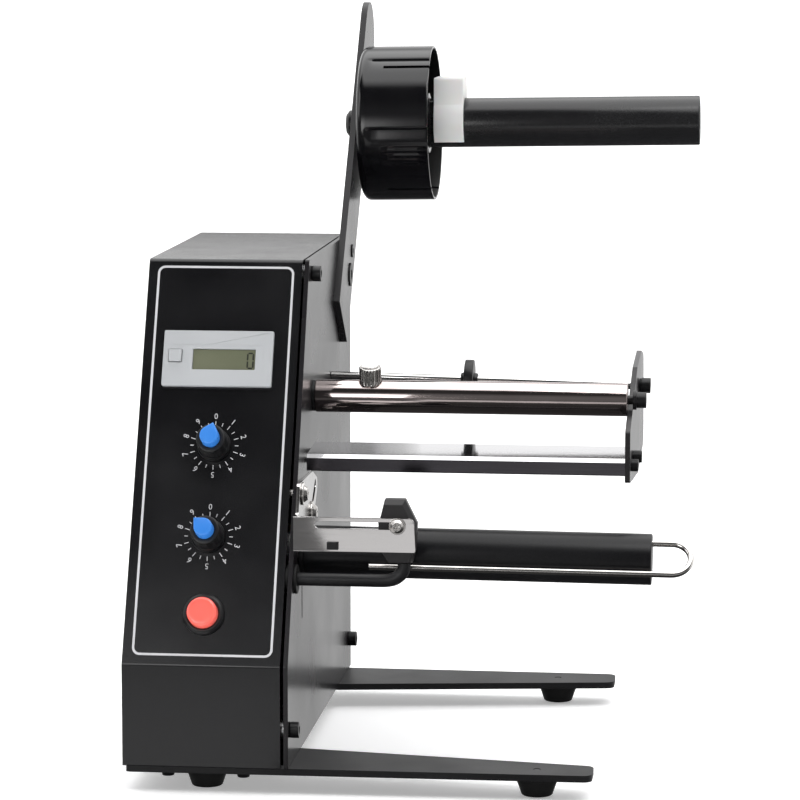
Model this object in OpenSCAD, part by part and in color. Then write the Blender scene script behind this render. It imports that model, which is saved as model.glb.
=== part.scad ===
// Bench label dispenser: folded sheet cabinet with a slanted control panel, a side
// plate that carries the guide bar, peel plate, sensor and rewinder, and a roll
// arm with a core hub. Millimetres, +Z up, origin at the bottom centre of the
// whole machine, -Y towards the operator, +X towards the free ends of the rollers.

/* [Cabinet] */
// Outer width of the folded cover
cover_w = 68.6; // [66:0.1:72]
// Depth of the cabinet from the front wall to the rear panel
cover_d = 214.4; // [205:0.1:225]
// Height of the top wall above the table
cover_top = 223; // [215:0.5:230]
// Height of the bend between the front wall and the slanted panel
bend_z = 55.5; // [50:0.5:60]
// How far the slanted panel leans back over its height
panel_lean = 76.6; // [70:0.1:85]
// Sheet thickness of the cover
sheet = 1.5; // [1:0.1:2]
// Height of the bottom of the cabinet above the table
base_z = 11; // [10:0.5:13]

/* [Side plate and legs] */
// Thickness of the side plate
plate_t = 2; // [1.5:0.1:2.5]
// Thickness of the legs
leg_t = 3; // [2:0.5:3]
// Length of the legs to the right
leg_x = 202; // [190:1:215]

/* [Rollers] */
// Diameter of the bright guide bar
bar_d = 14.6; // [12:0.1:16]
// Diameter of the thin rear rod
rod_d = 4; // [3.5:0.1:5]
// Length of the bars up to the end plate
bar_end = 212.3; // [200:0.1:220]
// Outer diameter of the rewinder tube
rew_d = 22.2; // [21:0.1:23]
// Diameter of the clip wire
wire_d = 2.8; // [2.4:0.1:3]

/* [Roll holder] */
// Diameter of the lobed core hub
hub_d = 74.6; // [70:0.1:76]
// Outer diameter of the spindle tube
spindle_d = 23.8; // [22:0.1:24]
// Right end of the spindle tube
spindle_end = 238.8; // [225:0.1:240]
// Width of the roll arm
arm_w = 34.8; // [30:0.2:36]

/* [Controls] */
// Diameter of the knob bases
knob_d = 14.8; // [13:0.1:16]
// Diameter of the power button
button_d = 13; // [11:0.1:13.2]
// Travel of the power button
button_travel = 3; // [2:0.5:3.5]

/* [Drive] */
// Gear module
gear_m = 0.8; // [0.7:0.05:0.85]
// Teeth of the gear on the rewinder shaft
gear_z = 36; // [30:1:36]
// Teeth of the motor pinion
pinion_z = 18; // [18:1:20]

/* [Hidden] */
$fn = 64;

// the box of the whole machine in the drawing frame, whose left wall is x = 0,
// front wall y = 0 and table z = 0
box_x = 243.5;
box_y = 292.4;
off = [-box_x / 2, -box_y / 2, 0];

// the slanted panel
panel_h = cover_top - bend_z;
panel_a = atan2(panel_h, panel_lean);
plate_x = cover_w + 1.4;
out_x = plate_x + plate_t;
profile = [[0, base_z], [cover_d, base_z], [cover_d, cover_top], [panel_lean, cover_top], [0, bend_z]];

// centres of the parts on the side plate, as [y, z]
post_at = [[83, 216.5], [7, 27], [208.5, 26], [193, 205.4]];
bar_at = [84, 161.8];
rod_at = [145, 163.0];
rod_drop = 1.0;
peel_at = [[70, 134.8], [84, 136.6]];
rew_at = [41, 99.3];
rew_drop = 0.4;
lead_at = [22.9, 89.9];
lead_r = 2.85;
bracket_at = [[65.6, 112], [37, 125]];
arm_at = [post_at[3], [200.7, 216]];
spin_at = [242.5, 274.3];
spin_rise = 0.9;

// foot and leg screw centres, as [x, y]
foot_at = [[178, 13], [174.8, 199.5], [34.5, 15], [34.5, 197]];
leg_screw_at = [[18, 11], [51, 11], [18, 203], [51, 203]];

// controls on the panel, as [x, height up the panel from the bend]
upper_at = [34.3, 98.3];
lower_at = [34.3, 57.3];
switch_at = [34.3, 22.5];

// drive
centre = gear_m * (gear_z + pinion_z) / 2;

// route of the sensor lead: out of the head, round, along and through the grommet
lead_route = [
  [119.6, 22.9, 97.9], [119.5, 22.9, 96.1], [119.0, 22.9, 94.3], [117.6, 22.9, 92.3],
  [115.4, 22.9, 90.8], [112.6, 22.9, 90.1], [109.5, 22.9, 89.9], [102, 22.9, 89.9],
  [94, 22.9, 89.9], [86, 22.9, 89.9], [78, 22.9, 89.9], [70, 22.9, 89.9], [62, 22.9, 89.9], [57, 22.9, 89.9]
];

// ---- helpers ----
function unit(v) = v / norm(v);
function fillet(a, b, c, r, n) =
  let (u = unit(a - b), w = unit(c - b), half = acos(u * w) / 2,
       o = b + unit(u + w) * (r / sin(half)), s = b + u * (r / tan(half)), e = b + w * (r / tan(half)),
       t0 = atan2(s[1] - o[1], s[0] - o[0]), t1 = atan2(e[1] - o[1], e[0] - o[0]),
       d = ((t1 - t0 + 540) % 360) - 180)
  [for (i = [0:n]) o + r * [cos(t0 + d * i / n), sin(t0 + d * i / n)]];
// polygon with rounded corners; r is one radius or one per corner
function rounded(p, r, n = 6) =
  let (m = len(p)) [for (i = [0:m - 1]) let (q = is_list(r) ? r[i] : r)
    each (q <= 0 ? [p[i]] : fillet(p[(i + m - 1) % m], p[i], p[(i + 1) % m], q, n))];
// counter-clockwise polygon moved inwards by t
function inset(p, t) =
  let (m = len(p)) [for (i = [0:m - 1])
    let (a = unit(p[i] - p[(i + m - 1) % m]), b = unit(p[(i + 1) % m] - p[i]),
         n1 = [-a[1], a[0]], n2 = [-b[1], b[0]])
    p[i] + (n1 + n2) * (t / (1 + n1 * n2))];
module placed() translate(off) children();
// 2D shape drawn in y and z, extruded from x0 to x1
module along_x(x0, x1) translate([x0, 0, 0]) rotate([90, 0, 90]) linear_extrude(x1 - x0) children();
// round bar along x
module xbar(x0, x1, at, r) translate([x0, at[0], at[1]]) rotate([0, 90, 0]) cylinder(h = x1 - x0, r = r);
// stands on the panel: x across, y up the slope, z out of the panel
module on_panel(at = [0, 0], z = 0) translate([0, 0, bend_z]) rotate([panel_a, 0, 0]) translate([at[0], at[1], z]) children();
// the rewinder shaft droops a little, the roll spindle rises, the rear rod drops
module rew_frame() translate([out_x, rew_at[0], rew_at[1]]) rotate([0, rew_drop, 0]) translate([-out_x, -rew_at[0], -rew_at[1]]) children();
module spin_frame() translate([out_x + 3, spin_at[0], spin_at[1]]) rotate([0, -spin_rise, 0]) translate([-out_x - 3, -spin_at[0], -spin_at[1]]) children();
module rod_frame() translate([out_x, rod_at[0], rod_at[1]]) rotate([0, rod_drop, 0]) translate([-out_x, -rod_at[0], -rod_at[1]]) children();
// involute gear outline
function inv(a) = tan(a) * 180 / PI - a;
function gear_points(z, m, slack) =
  let (rp = z * m / 2, rb = rp * cos(20), ro = rp + 0.9 * m, rr = rp - 1.2 * m, r0 = max(rb, rr), n = 4,
       rs = [for (i = [0:n]) r0 + (ro - r0) * i / n],
       h = [for (r = rs) 90 / z - slack + inv(20) - inv(acos(min(1, rb / r)))])
  [for (k = [0:z - 1]) let (c = 360 * k / z) each concat(
    [rr * [cos(c - h[0] - 0.4), sin(c - h[0] - 0.4)]],
    [for (i = [0:n]) rs[i] * [cos(c - h[i]), sin(c - h[i])]],
    [for (i = [n:-1:0]) rs[i] * [cos(c + h[i]), sin(c + h[i])]],
    [rr * [cos(c + h[0] + 0.4), sin(c + h[0] + 0.4)]])];
// tube swept along points that stay in one plane y = const
module sweep(p, r, sides = 10) {
  m = len(p);
  dirs = [for (i = [0:m - 1]) unit(p[min(i + 1, m - 1)] - p[max(i - 1, 0)])];
  pts = [for (i = [0:m - 1]) let (t = dirs[i], b = [0, 1, 0], n = cross(b, t))
    for (k = [0:sides - 1]) p[i] + r * (cos(360 * k / sides) * n + sin(360 * k / sides) * b)];
  faces = concat(
    [[for (k = [sides - 1:-1:0]) k]],
    [for (i = [0:m - 2]) for (k = [0:sides - 1]) [i * sides + k, i * sides + (k + 1) % sides, (i + 1) * sides + (k + 1) % sides]],
    [for (i = [0:m - 2]) for (k = [0:sides - 1]) [i * sides + k, (i + 1) * sides + (k + 1) % sides, (i + 1) * sides + k]],
    [[for (k = [0:sides - 1]) (m - 1) * sides + k]]);
  polyhedron(pts, faces, convexity = 4);
}

// ---- cabinet ----
module cover_shell() {
  color("#1d1d20") placed() difference() {
    union() {
      along_x(0, sheet) polygon(rounded(profile, [0.5, 0.5, 2, 2.5, 2.5]));
      difference() {
        along_x(0, cover_w) polygon(rounded(profile, [0.5, 0.5, 0.5, 2.5, 2.5]));
        along_x(-1, cover_w + 1) polygon(rounded(inset([[0, -10], [cover_d + 20, -10], [cover_d + 20, cover_top], [panel_lean, cover_top], [0, bend_z]], sheet), [0, 0, 0, 1, 1]));
      }
    }
    // cut-outs of the panel
    on_panel([11.3, 126.8], -6) cube([44.7, 21.5, 12]);
    on_panel(upper_at, -6) cylinder(h = 12, r = 3.6);
    on_panel(lower_at, -6) cylinder(h = 12, r = 3.6);
    on_panel(switch_at, -6) cylinder(h = 12, r = 8.1);
  }
}
module rear_panel() {
  color("#1d1d20") placed() difference() {
    translate([sheet + 0.1, cover_d - sheet, base_z + 1.7]) cube([plate_x - sheet - 0.3, sheet, cover_top - base_z - 3.4]);
    // inlet, fuse and vents
    translate([12.4, cover_d - 5, 30.4]) cube([27.2, 10, 19.2]);
    translate([54, cover_d + 5, 40]) rotate([90, 0, 0]) cylinder(h = 10, r = 6.1);
    for (i = [0:6]) translate([15, cover_d - 5, 150 + 8 * i]) cube([40, 10, 2.4]);
  }
}
module base_plate() {
  color("#2a2a2d") placed() difference() {
    translate([sheet + 0.1, sheet + 0.1, base_z]) cube([plate_x - sheet - 0.2, cover_d - 2 * sheet - 0.3, 1.5]);
    for (p = leg_screw_at) translate([p[0], p[1], base_z - 1]) cylinder(h = 4, r = 2.05);
    for (p = [[34.5, 15], [34.5, 197]]) translate([p[0], p[1], base_z - 1]) cylinder(h = 4, r = 1.6);
    for (y = [46, 72]) translate([42, y, base_z - 1]) cylinder(h = 4, r = 1.6);
  }
}
module side_plate() {
  color("#3a393c") placed() difference() {
    along_x(plate_x, out_x) polygon(rounded([[0.3, base_z], [217.4, base_z], [217.4, 223.4], [73.3, 223.4], [0.3, bend_z]], [0.6, 0.6, 0.6, 1.5, 1.5]));
    for (p = post_at) xbar(plate_x - 1, out_x + 1, p, 2.2);
    xbar(plate_x - 1, out_x + 1, bar_at, 2.2);
    xbar(plate_x - 1, out_x + 1, rod_at, 1.6);
    for (p = peel_at) xbar(plate_x - 1, out_x + 1, p, 1.6);
    rew_frame() xbar(plate_x - 1, out_x + 1, rew_at, 8.06);
    xbar(plate_x - 1, out_x + 1, lead_at, 5.05);
    for (p = bracket_at) xbar(plate_x - 1, out_x + 1, p, 2.05);
    xbar(plate_x - 1, out_x + 1, arm_at[1], 1.6);
    translate([plate_x - 1, 44.3, 68.4]) cube([4, 2, 14.2]);
  }
}
module leg(points, radii, screws, feet) {
  difference() {
    translate([0, 0, base_z - leg_t]) linear_extrude(leg_t) polygon(rounded(points, radii));
    for (i = screws) translate([leg_screw_at[i][0], leg_screw_at[i][1], 0]) cylinder(h = 20, r = 2.2);
    for (i = feet) translate([foot_at[i][0], foot_at[i][1], 0]) cylinder(h = 20, r = 1.55);
  }
}
module front_leg() {
  color("#17171a") placed() leg([[1, 1.2], [77, 1.8], [leg_x, 3], [leg_x, 21.2], [72, 40.9], [1, 40.9]], [2, 0, 4, 4, 0, 2], [0, 1], [0, 2]);
}
module rear_leg() {
  color("#17171a") placed() leg([[1, 173.3], [72, 173.5], [148, 184.1], [leg_x, 191.3], [leg_x, 210.4], [72.8, 211.4], [1, 211.4]], [2, 0, 0, 4, 4, 0, 2], [2, 3], [1, 3]);
}
module rubber_feet() {
  color("#101011") placed() for (p = foot_at) translate([p[0], p[1], 0]) difference() {
    cylinder(h = base_z - leg_t, r1 = 6.75, r2 = 10);
    translate([0, 0, -1]) cylinder(h = 4.5, r = 3.6);
    cylinder(h = 20, r = 1.6);
  }
}
module leg_screws() {
  color("#202024") placed() {
    for (p = leg_screw_at) translate([p[0], p[1], 0]) difference() {
      union() {
        translate([0, 0, 4.8]) cylinder(h = 3.2, r1 = 2.6, r2 = 3.4);
        translate([0, 0, 7.9]) cylinder(h = base_z - 5.4, r = 2);
      }
      translate([0, 0, 4]) cylinder(h = 2.4, r = 1.4, $fn = 6);
    }
    for (p = foot_at) translate([p[0], p[1], 0]) {
      translate([0, 0, 1]) cylinder(h = 2.5, r = 3);
      translate([0, 0, 3.4]) cylinder(h = base_z - 3.6, r = 1.5);
    }
  }
}
module cap_screw(at, x0, head_d, head_h, r, len, dir = 1) {
  // head on the face at x0, shank going the other way
  translate([x0, at[0], at[1]]) rotate([0, 90 * dir, 0]) {
    difference() {
      cylinder(h = head_h, r = head_d / 2);
      translate([0, 0, head_h * 0.45]) cylinder(h = head_h, r = head_d * 0.24, $fn = 6);
    }
    translate([0, 0, -len]) cylinder(h = len + 0.1, r = r);
  }
}
module cover_screws() {
  color("#101012") placed() for (i = [0:2]) cap_screw(post_at[i], out_x, 7, 4, 2, 13);
}
module spacer_posts() {
  color("silver") placed() for (p = post_at) difference() {
    xbar(sheet, plate_x, p, 4);
    xbar(plate_x - 14, plate_x + 1, p, 2.05);
  }
}

// ---- controls ----
module counter_housing() {
  color("#eef0f2") placed() on_panel() difference() {
    union() {
      translate([9.3, 124.8, 0]) linear_extrude(2.2) polygon(rounded([[0, 0], [48.7, 0], [48.7, 25.5], [0, 25.5]], 0.8));
      translate([11.5, 127, -26]) cube([44.3, 21.1, 26.1]);
    }
    translate([22.5, 132.4, 0.8]) cube([27.8, 9.5, 3]);
    translate([11.75, 135.65, -3]) cube([6, 5.8, 8]);
  }
}
module counter_window() {
  color("#8d9484") placed() on_panel() translate([22.6, 132.5, 0.8]) cube([27.6, 9.3, 0.7]);
}
module counter_reset_key() {
  color("#f4f5f6") placed() on_panel() translate([11.95, 135.85, -1.5]) cube([5.6, 5.4, 4.4]);
}
module pot(at) {
  on_panel(at) {
    difference() {
      union() {
        translate([0, 0, -12.5]) cylinder(h = 11, r = 8);
        translate([0, 0, -1.6]) cylinder(h = 5.2, r = 3.5);
      }
      translate([0, 0, -11.5]) cylinder(h = 20, r = 3.06);
    }
    for (i = [-1:1]) translate([5 * i - 0.5, -12.5, -11]) cube([1, 5.4, 0.6]);
  }
}
module pot_shaft(at) on_panel(at, -11.3) cylinder(h = 22, r = 3);
module knob(at) {
  on_panel(at) difference() {
    union() {
      translate([0, 0, 0.5]) cylinder(h = 3, r1 = knob_d / 2, r2 = knob_d / 2 - 0.2);
      translate([0, 0, 3.5]) cylinder(h = 8, r1 = knob_d / 2 - 0.7, r2 = knob_d / 2 - 1);
    }
    translate([0, 0, 0]) cylinder(h = 4.2, r = 6.1);
    cylinder(h = 10.7, r = 3);
  }
}
module knob_cap(at, a) {
  t = acos(4.1 / 6);
  on_panel(at, 11.5) rotate(-a) linear_extrude(5.6) polygon(concat([[0, 6]],
    [for (i = [0:24]) let (b = 90 + t + (360 - 2 * t) * i / 24) 4.1 * [cos(b), sin(b)]]));
}
module upper_pot() { color("#6d6f72") placed() pot(upper_at); }
module upper_pot_shaft() { color("silver") placed() pot_shaft(upper_at); }
module upper_knob() { color("#131315") placed() knob(upper_at); }
module upper_knob_cap() { color("#2f7fd0") placed() knob_cap(upper_at, 16); }
module lower_pot() { color("#6d6f72") placed() pot(lower_at); }
module lower_pot_shaft() { color("silver") placed() pot_shaft(lower_at); }
module lower_knob() { color("#131315") placed() knob(lower_at); }
module lower_knob_cap() { color("#2f7fd0") placed() knob_cap(lower_at, -47); }
module pot_nuts() {
  color("silver") placed() for (at = [upper_at, lower_at]) on_panel(at, 0) difference() {
    cylinder(h = 2, r = 5.6, $fn = 6);
    translate([0, 0, -1]) cylinder(h = 4, r = 3.55);
  }
}
module switch_housing() {
  color("#18181a") placed() on_panel(switch_at) difference() {
    union() {
      cylinder(h = 1.4, r = 9.1);
      translate([0, 0, 1.4]) cylinder(h = 1.1, r1 = 9.1, r2 = 8);
      translate([0, 0, -22]) cylinder(h = 22.1, r = 8);
    }
    translate([0, 0, -9]) cylinder(h = 14, r = button_d / 2 + 0.15);
  }
}
module power_button() {
  color("#e2382f") placed() on_panel(switch_at) {
    translate([0, 0, -5]) cylinder(h = 11, r = button_d / 2);
    translate([0, 0, 6]) cylinder(h = 1, r1 = button_d / 2, r2 = button_d / 2 - 1);
  }
}

// ---- inside the cabinet ----
module power_inlet() {
  color("#151517") placed() difference() {
    union() {
      translate([12.5, cover_d - 21, 30.5]) cube([27, 21.1, 19]);
      translate([9, cover_d, 27]) cube([34, 2.2, 26]);
    }
    translate([14.5, cover_d - 16, 32.5]) cube([23, 20, 15]);
  }
  color("gold") placed() for (p = [[18.2, 38], [31.8, 38], [25, 42.4]]) translate([p[0], cover_d - 16.5, p[1]]) cube([2, 12, 4]);
}
module fuse_holder() {
  color("#151517") placed() translate([54, cover_d, 40]) rotate([90, 0, 0]) {
    translate([0, 0, -2]) cylinder(h = 2, r = 7.5);
    translate([0, 0, -6]) cylinder(h = 4.1, r = 6);
    cylinder(h = 28, r = 6);
  }
}
module power_supply() {
  color("#b9bcc0") placed() {
    translate([10, 100, base_z + 1.5]) cube([48, 80, 2]);
    translate([14, 108, base_z + 3.5]) cube([40, 64, 32]);
  }
}
module control_board() {
  color("#1f6b3a") placed() {
    translate([8, 105, 70]) cube([1.6, 90, 110]);
    for (y = [110, 190]) for (z = [76, 174]) xbar(sheet, 8, [y, z], 2.5);
    translate([9.6, 120, 90]) cube([6, 20, 20]);
    translate([9.6, 150, 100]) cube([12, 16, 30]);
    translate([9.6, 115, 140]) cube([9, 40, 9]);
  }
}
module drive_bracket() {
  color("#8b8d91") placed() difference() {
    union() {
      along_x(50, 52) polygon(rounded([[31, base_z + 1.5], [84, base_z + 1.5], [84, 120], [39, 120], [31, 100]], [0, 0, 3, 3, 3]));
      translate([36, 36, base_z + 1.5]) cube([14.1, 44, 2]);
    }
    rew_frame() xbar(49, 53, rew_at, 8.06);
    rew_frame() xbar(49, 53, [rew_at[0] + centre, rew_at[1]], 6);
    for (y = [46, 72]) translate([42, y, base_z]) cylinder(h = 8, r = 1.6);
  }
  color("silver") placed() for (y = [46, 72]) translate([42, y, 0]) {
    translate([0, 0, base_z + 3.5]) cylinder(h = 1.6, r = 2.8);
    translate([0, 0, base_z + 0.2]) cylinder(h = 3.4, r = 1.55);
  }
}
module gear_motor() {
  color("#9a9ca0") placed() rew_frame() difference() {
    union() {
      xbar(31, 49.8, [rew_at[0] + centre, rew_at[1]], 17.3);
      xbar(6, 31.1, [rew_at[0] + centre, rew_at[1]], 16.2);
    }
    xbar(42, 50, [rew_at[0] + centre, rew_at[1]], 3.06);
  }
}
module motor_shaft() { color("silver") placed() rew_frame() xbar(42.2, 65, [rew_at[0] + centre, rew_at[1]], 3); }
module motor_pinion() {
  color("#c9a24a") placed() rew_frame() difference() {
    union() {
      translate([57.4, rew_at[0] + centre, rew_at[1]]) rotate([90, 0, 90]) rotate(180 / pinion_z) linear_extrude(6.2) polygon(gear_points(pinion_z, gear_m, 0.6));
      xbar(54, 57.5, [rew_at[0] + centre, rew_at[1]], 5.6);
    }
    xbar(53, 65, [rew_at[0] + centre, rew_at[1]], 3);
  }
}
module driven_gear() {
  color("#d8d2c0") placed() rew_frame() difference() {
    union() {
      translate([58, rew_at[0], rew_at[1]]) rotate([90, 0, 90]) linear_extrude(5) polygon(gear_points(gear_z, gear_m, 0.3));
      xbar(62.9, 65.4, rew_at, 7.5);
    }
    xbar(57, 66, rew_at, 4);
  }
}
module rewinder_shaft() { color("silver") placed() rew_frame() xbar(48.5, 219, rew_at, 4); }
module shaft_bearings() {
  color("#a9abaf") placed() rew_frame() for (x = [[50, 56, 52.1], [66, 72.6, 68.2]]) difference() {
    union() {
      xbar(x[0], x[1], rew_at, 8);
      xbar(x[2], x[2] + 1.6, rew_at, 9.5);
    }
    xbar(x[0] - 1, x[1] + 1, rew_at, 4.03);
  }
}

// ---- rewinder ----
module rewinder_tube() {
  color("#161617") placed() rew_frame() difference() {
    xbar(74.4, 225.3, rew_at, rew_d / 2);
    xbar(74, 226, rew_at, rew_d / 2 - 1.5);
  }
}
module rewinder_plugs() {
  color("#232326") placed() rew_frame() {
    difference() {
      xbar(75, 85, rew_at, rew_d / 2 - 1.55);
      xbar(74, 86, rew_at, 4);
    }
    difference() {
      xbar(213, 225.3, rew_at, rew_d / 2 - 1.55);
      xbar(212, 219.2, rew_at, 4);
      xbar(212, 226, [rew_at[0], rew_at[1] + 7], wire_d / 2 + 0.1);
    }
  }
}
module paper_clip_wire() {
  r = wire_d / 2;
  color("#c9cbce") placed() rew_frame() translate([0, rew_at[0] - 6.1, rew_at[1] + 1.4]) rotate([atan2(11.2, 12.2), 0, 0]) {
    xbar(118, 233.82, [8.28, 0], r);
    xbar(105, 233.82, [-8.28, 0], r);
    translate([118, 8.28, 0]) sphere(r = r);
    translate([105, -8.28, 0]) sphere(r = r);
    translate([233.8, 0, 0]) rotate(-90) rotate_extrude(angle = 180) translate([8.28, 0]) circle(r = r);
  }
}

// ---- roll holder ----
module roll_arm() {
  color("#232226") placed() difference() {
    along_x(out_x, out_x + 3) union() {
      polygon([[167.7 - arm_w / 2 * cos(39.4), 185.5 + arm_w / 2 * sin(39.4)], [167.7 + arm_w / 2 * cos(39.4), 185.5 - arm_w / 2 * sin(39.4)],
               [275 + arm_w / 2 * cos(39.4), 315 - arm_w / 2 * sin(39.4)], [275 - arm_w / 2 * cos(39.4), 315 + arm_w / 2 * sin(39.4)]]);
      translate([275, 315]) circle(r = arm_w / 2);
    }
    xbar(out_x - 1, out_x + 4, arm_at[0], 2.2);
    xbar(out_x - 1, out_x + 4, arm_at[1], 1.6);
    xbar(out_x - 1, out_x + 4, spin_at, 4.3);
  }
}
module arm_screws() {
  color("#101012") placed() {
    // low flush heads
    cap_screw(arm_at[0], out_x + 3, 11, 0.7, 2, 16);
    cap_screw(arm_at[1], out_x + 3, 6.2, 0.6, 1.5, 6.5);
  }
}
module spindle_bolt() {
  color("#1a1a1c") placed() spin_frame() {
    translate([67.4, spin_at[0], spin_at[1]]) rotate([0, 90, 0]) cylinder(h = 1.6, r1 = 4.5, r2 = 6.5);
    xbar(68.9, out_x - 0.15, spin_at, 6.5);
    xbar(out_x - 0.2, 98, spin_at, 4);
    xbar(out_x + 3.12, 75.9, spin_at, 8);
    translate([92, spin_at[0], spin_at[1]]) rotate([0, 90, 0]) cylinder(h = 6, r = 7, $fn = 6);
  }
}
module spindle_bush() {
  color("#3a3a3d") placed() spin_frame() difference() {
    xbar(79.2, 91.7, spin_at, spindle_d / 2 - 1.55);
    xbar(79, 92, spin_at, 4.05);
  }
}
module spindle_tube() {
  color("#151516") placed() spin_frame() difference() {
    xbar(79.1, spindle_end, spin_at, spindle_d / 2);
    xbar(79, spindle_end + 1, spin_at, spindle_d / 2 - 1.5);
  }
}
module core_hub() {
  color("#0d0d0f") placed() spin_frame() difference() {
    union() {
      difference() {
        xbar(76, 110.5, spin_at, hub_d / 2);
        xbar(79.5, 112, spin_at, hub_d / 2 - 2.6);
      }
      xbar(79, 108, spin_at, 14.6);
    }
    xbar(79.1, 109, spin_at, spindle_d / 2 + 0.02);
    xbar(75, 80, spin_at, 4.3);
    for (a = [0:30:330]) translate([76, spin_at[0], spin_at[1]]) rotate([a, 0, 0]) translate([-1, hub_d / 2 + 0.6, 0]) rotate([0, 90, 0]) cylinder(h = 40, r = 1.8);
  }
}
module roll_clip() {
  right = [for (i = [0:12]) let (a = -35.4 + 6.2 * i) 15.2 * [cos(a), sin(a)]];
  left = [for (i = [12:-1:0]) let (a = -35.4 + 6.2 * i) 15.2 * [-cos(a), sin(a)]];
  color("#f2f2ef") placed() spin_frame() difference() {
    along_x(111.2, 125.4) translate(spin_at) polygon(concat(right, rounded([[10.5, 18], [9.5, 22.2], [-9.5, 22.2], [-10.5, 18]], [0, 2, 2, 0]), left));
    xbar(111, 128, spin_at, spindle_d / 2 + 0.1);
  }
}

// ---- bars and peel plate ----
module lean_frame() translate([98, bar_at[0], bar_at[1]]) rotate([16, 0, 0]) children();
module guide_bar() {
  color("#c4c1bf") placed() difference() {
    xbar(out_x + 1.3, bar_end, bar_at, bar_d / 2);
    xbar(out_x, out_x + 16, bar_at, 2.02);
    xbar(bar_end - 14, bar_end + 1, bar_at, 2.02);
    lean_frame() translate([0, 0, 6]) cylinder(h = 6, r = 5.25);
    lean_frame() translate([0, 0, -4]) cylinder(h = 12, r = 2.03);
  }
}
module thumbscrew() {
  color("#b9b6b2") placed() lean_frame() {
    translate([0, 0, 6.05]) cylinder(h = 0.6, r1 = 4.4, r2 = 4.9);
    translate([0, 0, 6.6]) cylinder(h = 7.3, r = 4.9);
    translate([0, 0, 13.8]) cylinder(h = 0.6, r1 = 4.9, r2 = 4.4);
    translate([0, 0, -3.6]) cylinder(h = 9.8, r = 1.97);
  }
}
module rear_rod() {
  color("#c4c1bf") placed() rod_frame() difference() {
    xbar(out_x + 0.1, bar_end - 0.05, rod_at, rod_d / 2);
    xbar(out_x, out_x + 11, rod_at, 1.22);
    xbar(bar_end - 11, bar_end + 1, rod_at, 1.22);
  }
}
module guide_ring() {
  color("#1c1c1e") placed() rod_frame() difference() {
    union() {
      xbar(134.4, 138.6, rod_at, 9.4);
      xbar(132.6, 140.4, rod_at, 3.2);
    }
    xbar(132, 141, rod_at, rod_d / 2 + 0.08);
  }
}
module bar_screws() {
  color("#141416") placed() {
    // washer between the side plate and the guide bar
    difference() {
      xbar(out_x, out_x + 1.3, bar_at, 6.9);
      xbar(out_x - 1, out_x + 2, bar_at, 2.1);
    }
    cap_screw(bar_at, plate_x, 7, 4, 2, 15, -1);
    cap_screw(bar_at, bar_end + 3.9, 7, 4.3, 2, 15.6);
    xbar(bar_end + 2.3, bar_end + 3.95, bar_at, 4.3);
    for (p = peel_at) {
      cap_screw(p, plate_x, 5, 3, 1.25, 12, -1);
      cap_screw(p, bar_end + 2.3, 5.4, p[0] > 80 ? 4.2 : 3.2, 1.25, 12);
    }
    rod_frame() {
      cap_screw(rod_at, plate_x - 0.1, 6, 3, 1.2, 11, -1);
      cap_screw(rod_at, bar_end + 3.5, 7, 4.2, 1.2, 12);
      xbar(bar_end + 2.45, bar_end + 3.55, rod_at, 3.2);
    }
  }
}
module peel_plate() {
  color("#b8b6b8") placed() difference() {
    along_x(out_x, bar_end) polygon(rounded([[61.9, 131.0], [90.6, 133.9], [91.1, 140.1], [63.5, 138.5], [61.7, 136.9]], [0.5, 0.8, 0.8, 0.3, 0.3], 3));
    for (p = peel_at) {
      xbar(out_x - 1, out_x + 13, p, 1.27);
      xbar(bar_end - 12, bar_end + 1, p, 1.27);
    }
  }
}
module end_plate() {
  color("#2b2a2e") placed() difference() {
    along_x(bar_end, bar_end + 2.3) polygon(rounded([[66, 127.5], [147, 119.8], [204, 126], [197, 169], [171, 173.5], [128, 171], [60, 150.8], [60, 128.5]], [1, 6, 8, 8, 6, 4, 2, 1]));
    xbar(bar_end - 1, bar_end + 4, bar_at, 2.2);
    xbar(bar_end - 1, bar_end + 4, [rod_at[0], rod_at[1] - (bar_end + 1.1 - out_x) * tan(rod_drop)], 1.5);
    for (p = peel_at) xbar(bar_end - 1, bar_end + 4, p, 1.5);
  }
}

// ---- sensor ----
module along_y(y0, y1) translate([0, y1, 0]) rotate([90, 0, 0]) linear_extrude(y1 - y0) children();
module sensor_bracket() {
  color("#c9c7c8") placed() difference() {
    union() {
      along_y(18, 19.5) polygon(rounded([[out_x, 103], [125, 103], [124.2, 118], [out_x, 118]], [0, 1, 2.5, 0]));
      along_x(out_x, out_x + 1.5) polygon(rounded([[18, 103], [27.5, 103], [31, 110], [41, 113.4], [52, 109], [58, 104], [70, 105], [86, 120], [86, 124.5], [71, 129.5], [30, 130.5], [25, 118], [18, 118]], [0, 1, 0, 0, 0, 3, 4, 3, 3, 6, 3, 1, 0]));
    }
    xbar(out_x - 1, out_x + 3, rew_at, 13);
    // slot for the sensor
    along_y(17, 21) union() {
      polygon([[82.8, 113.1], [118.2, 113.1], [118.2, 116.1], [82.8, 116.1]]);
      translate([82.8, 114.6]) circle(r = 1.5);
      translate([118.2, 114.6]) circle(r = 1.5);
    }
    // slot for the clamp screw, and the hole for the pivot screw
    along_x(out_x - 1, out_x + 3) union() {
      translate(bracket_at[0]) circle(r = 2.1);
      translate([79, 122.6]) circle(r = 2.1);
      translate(bracket_at[0]) rotate(atan2(10.6, 13.4)) translate([0, -2.1]) square([norm([10.6, 13.4]), 4.2]);
      translate(bracket_at[1]) circle(r = 2.1);
    }
  }
}
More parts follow.
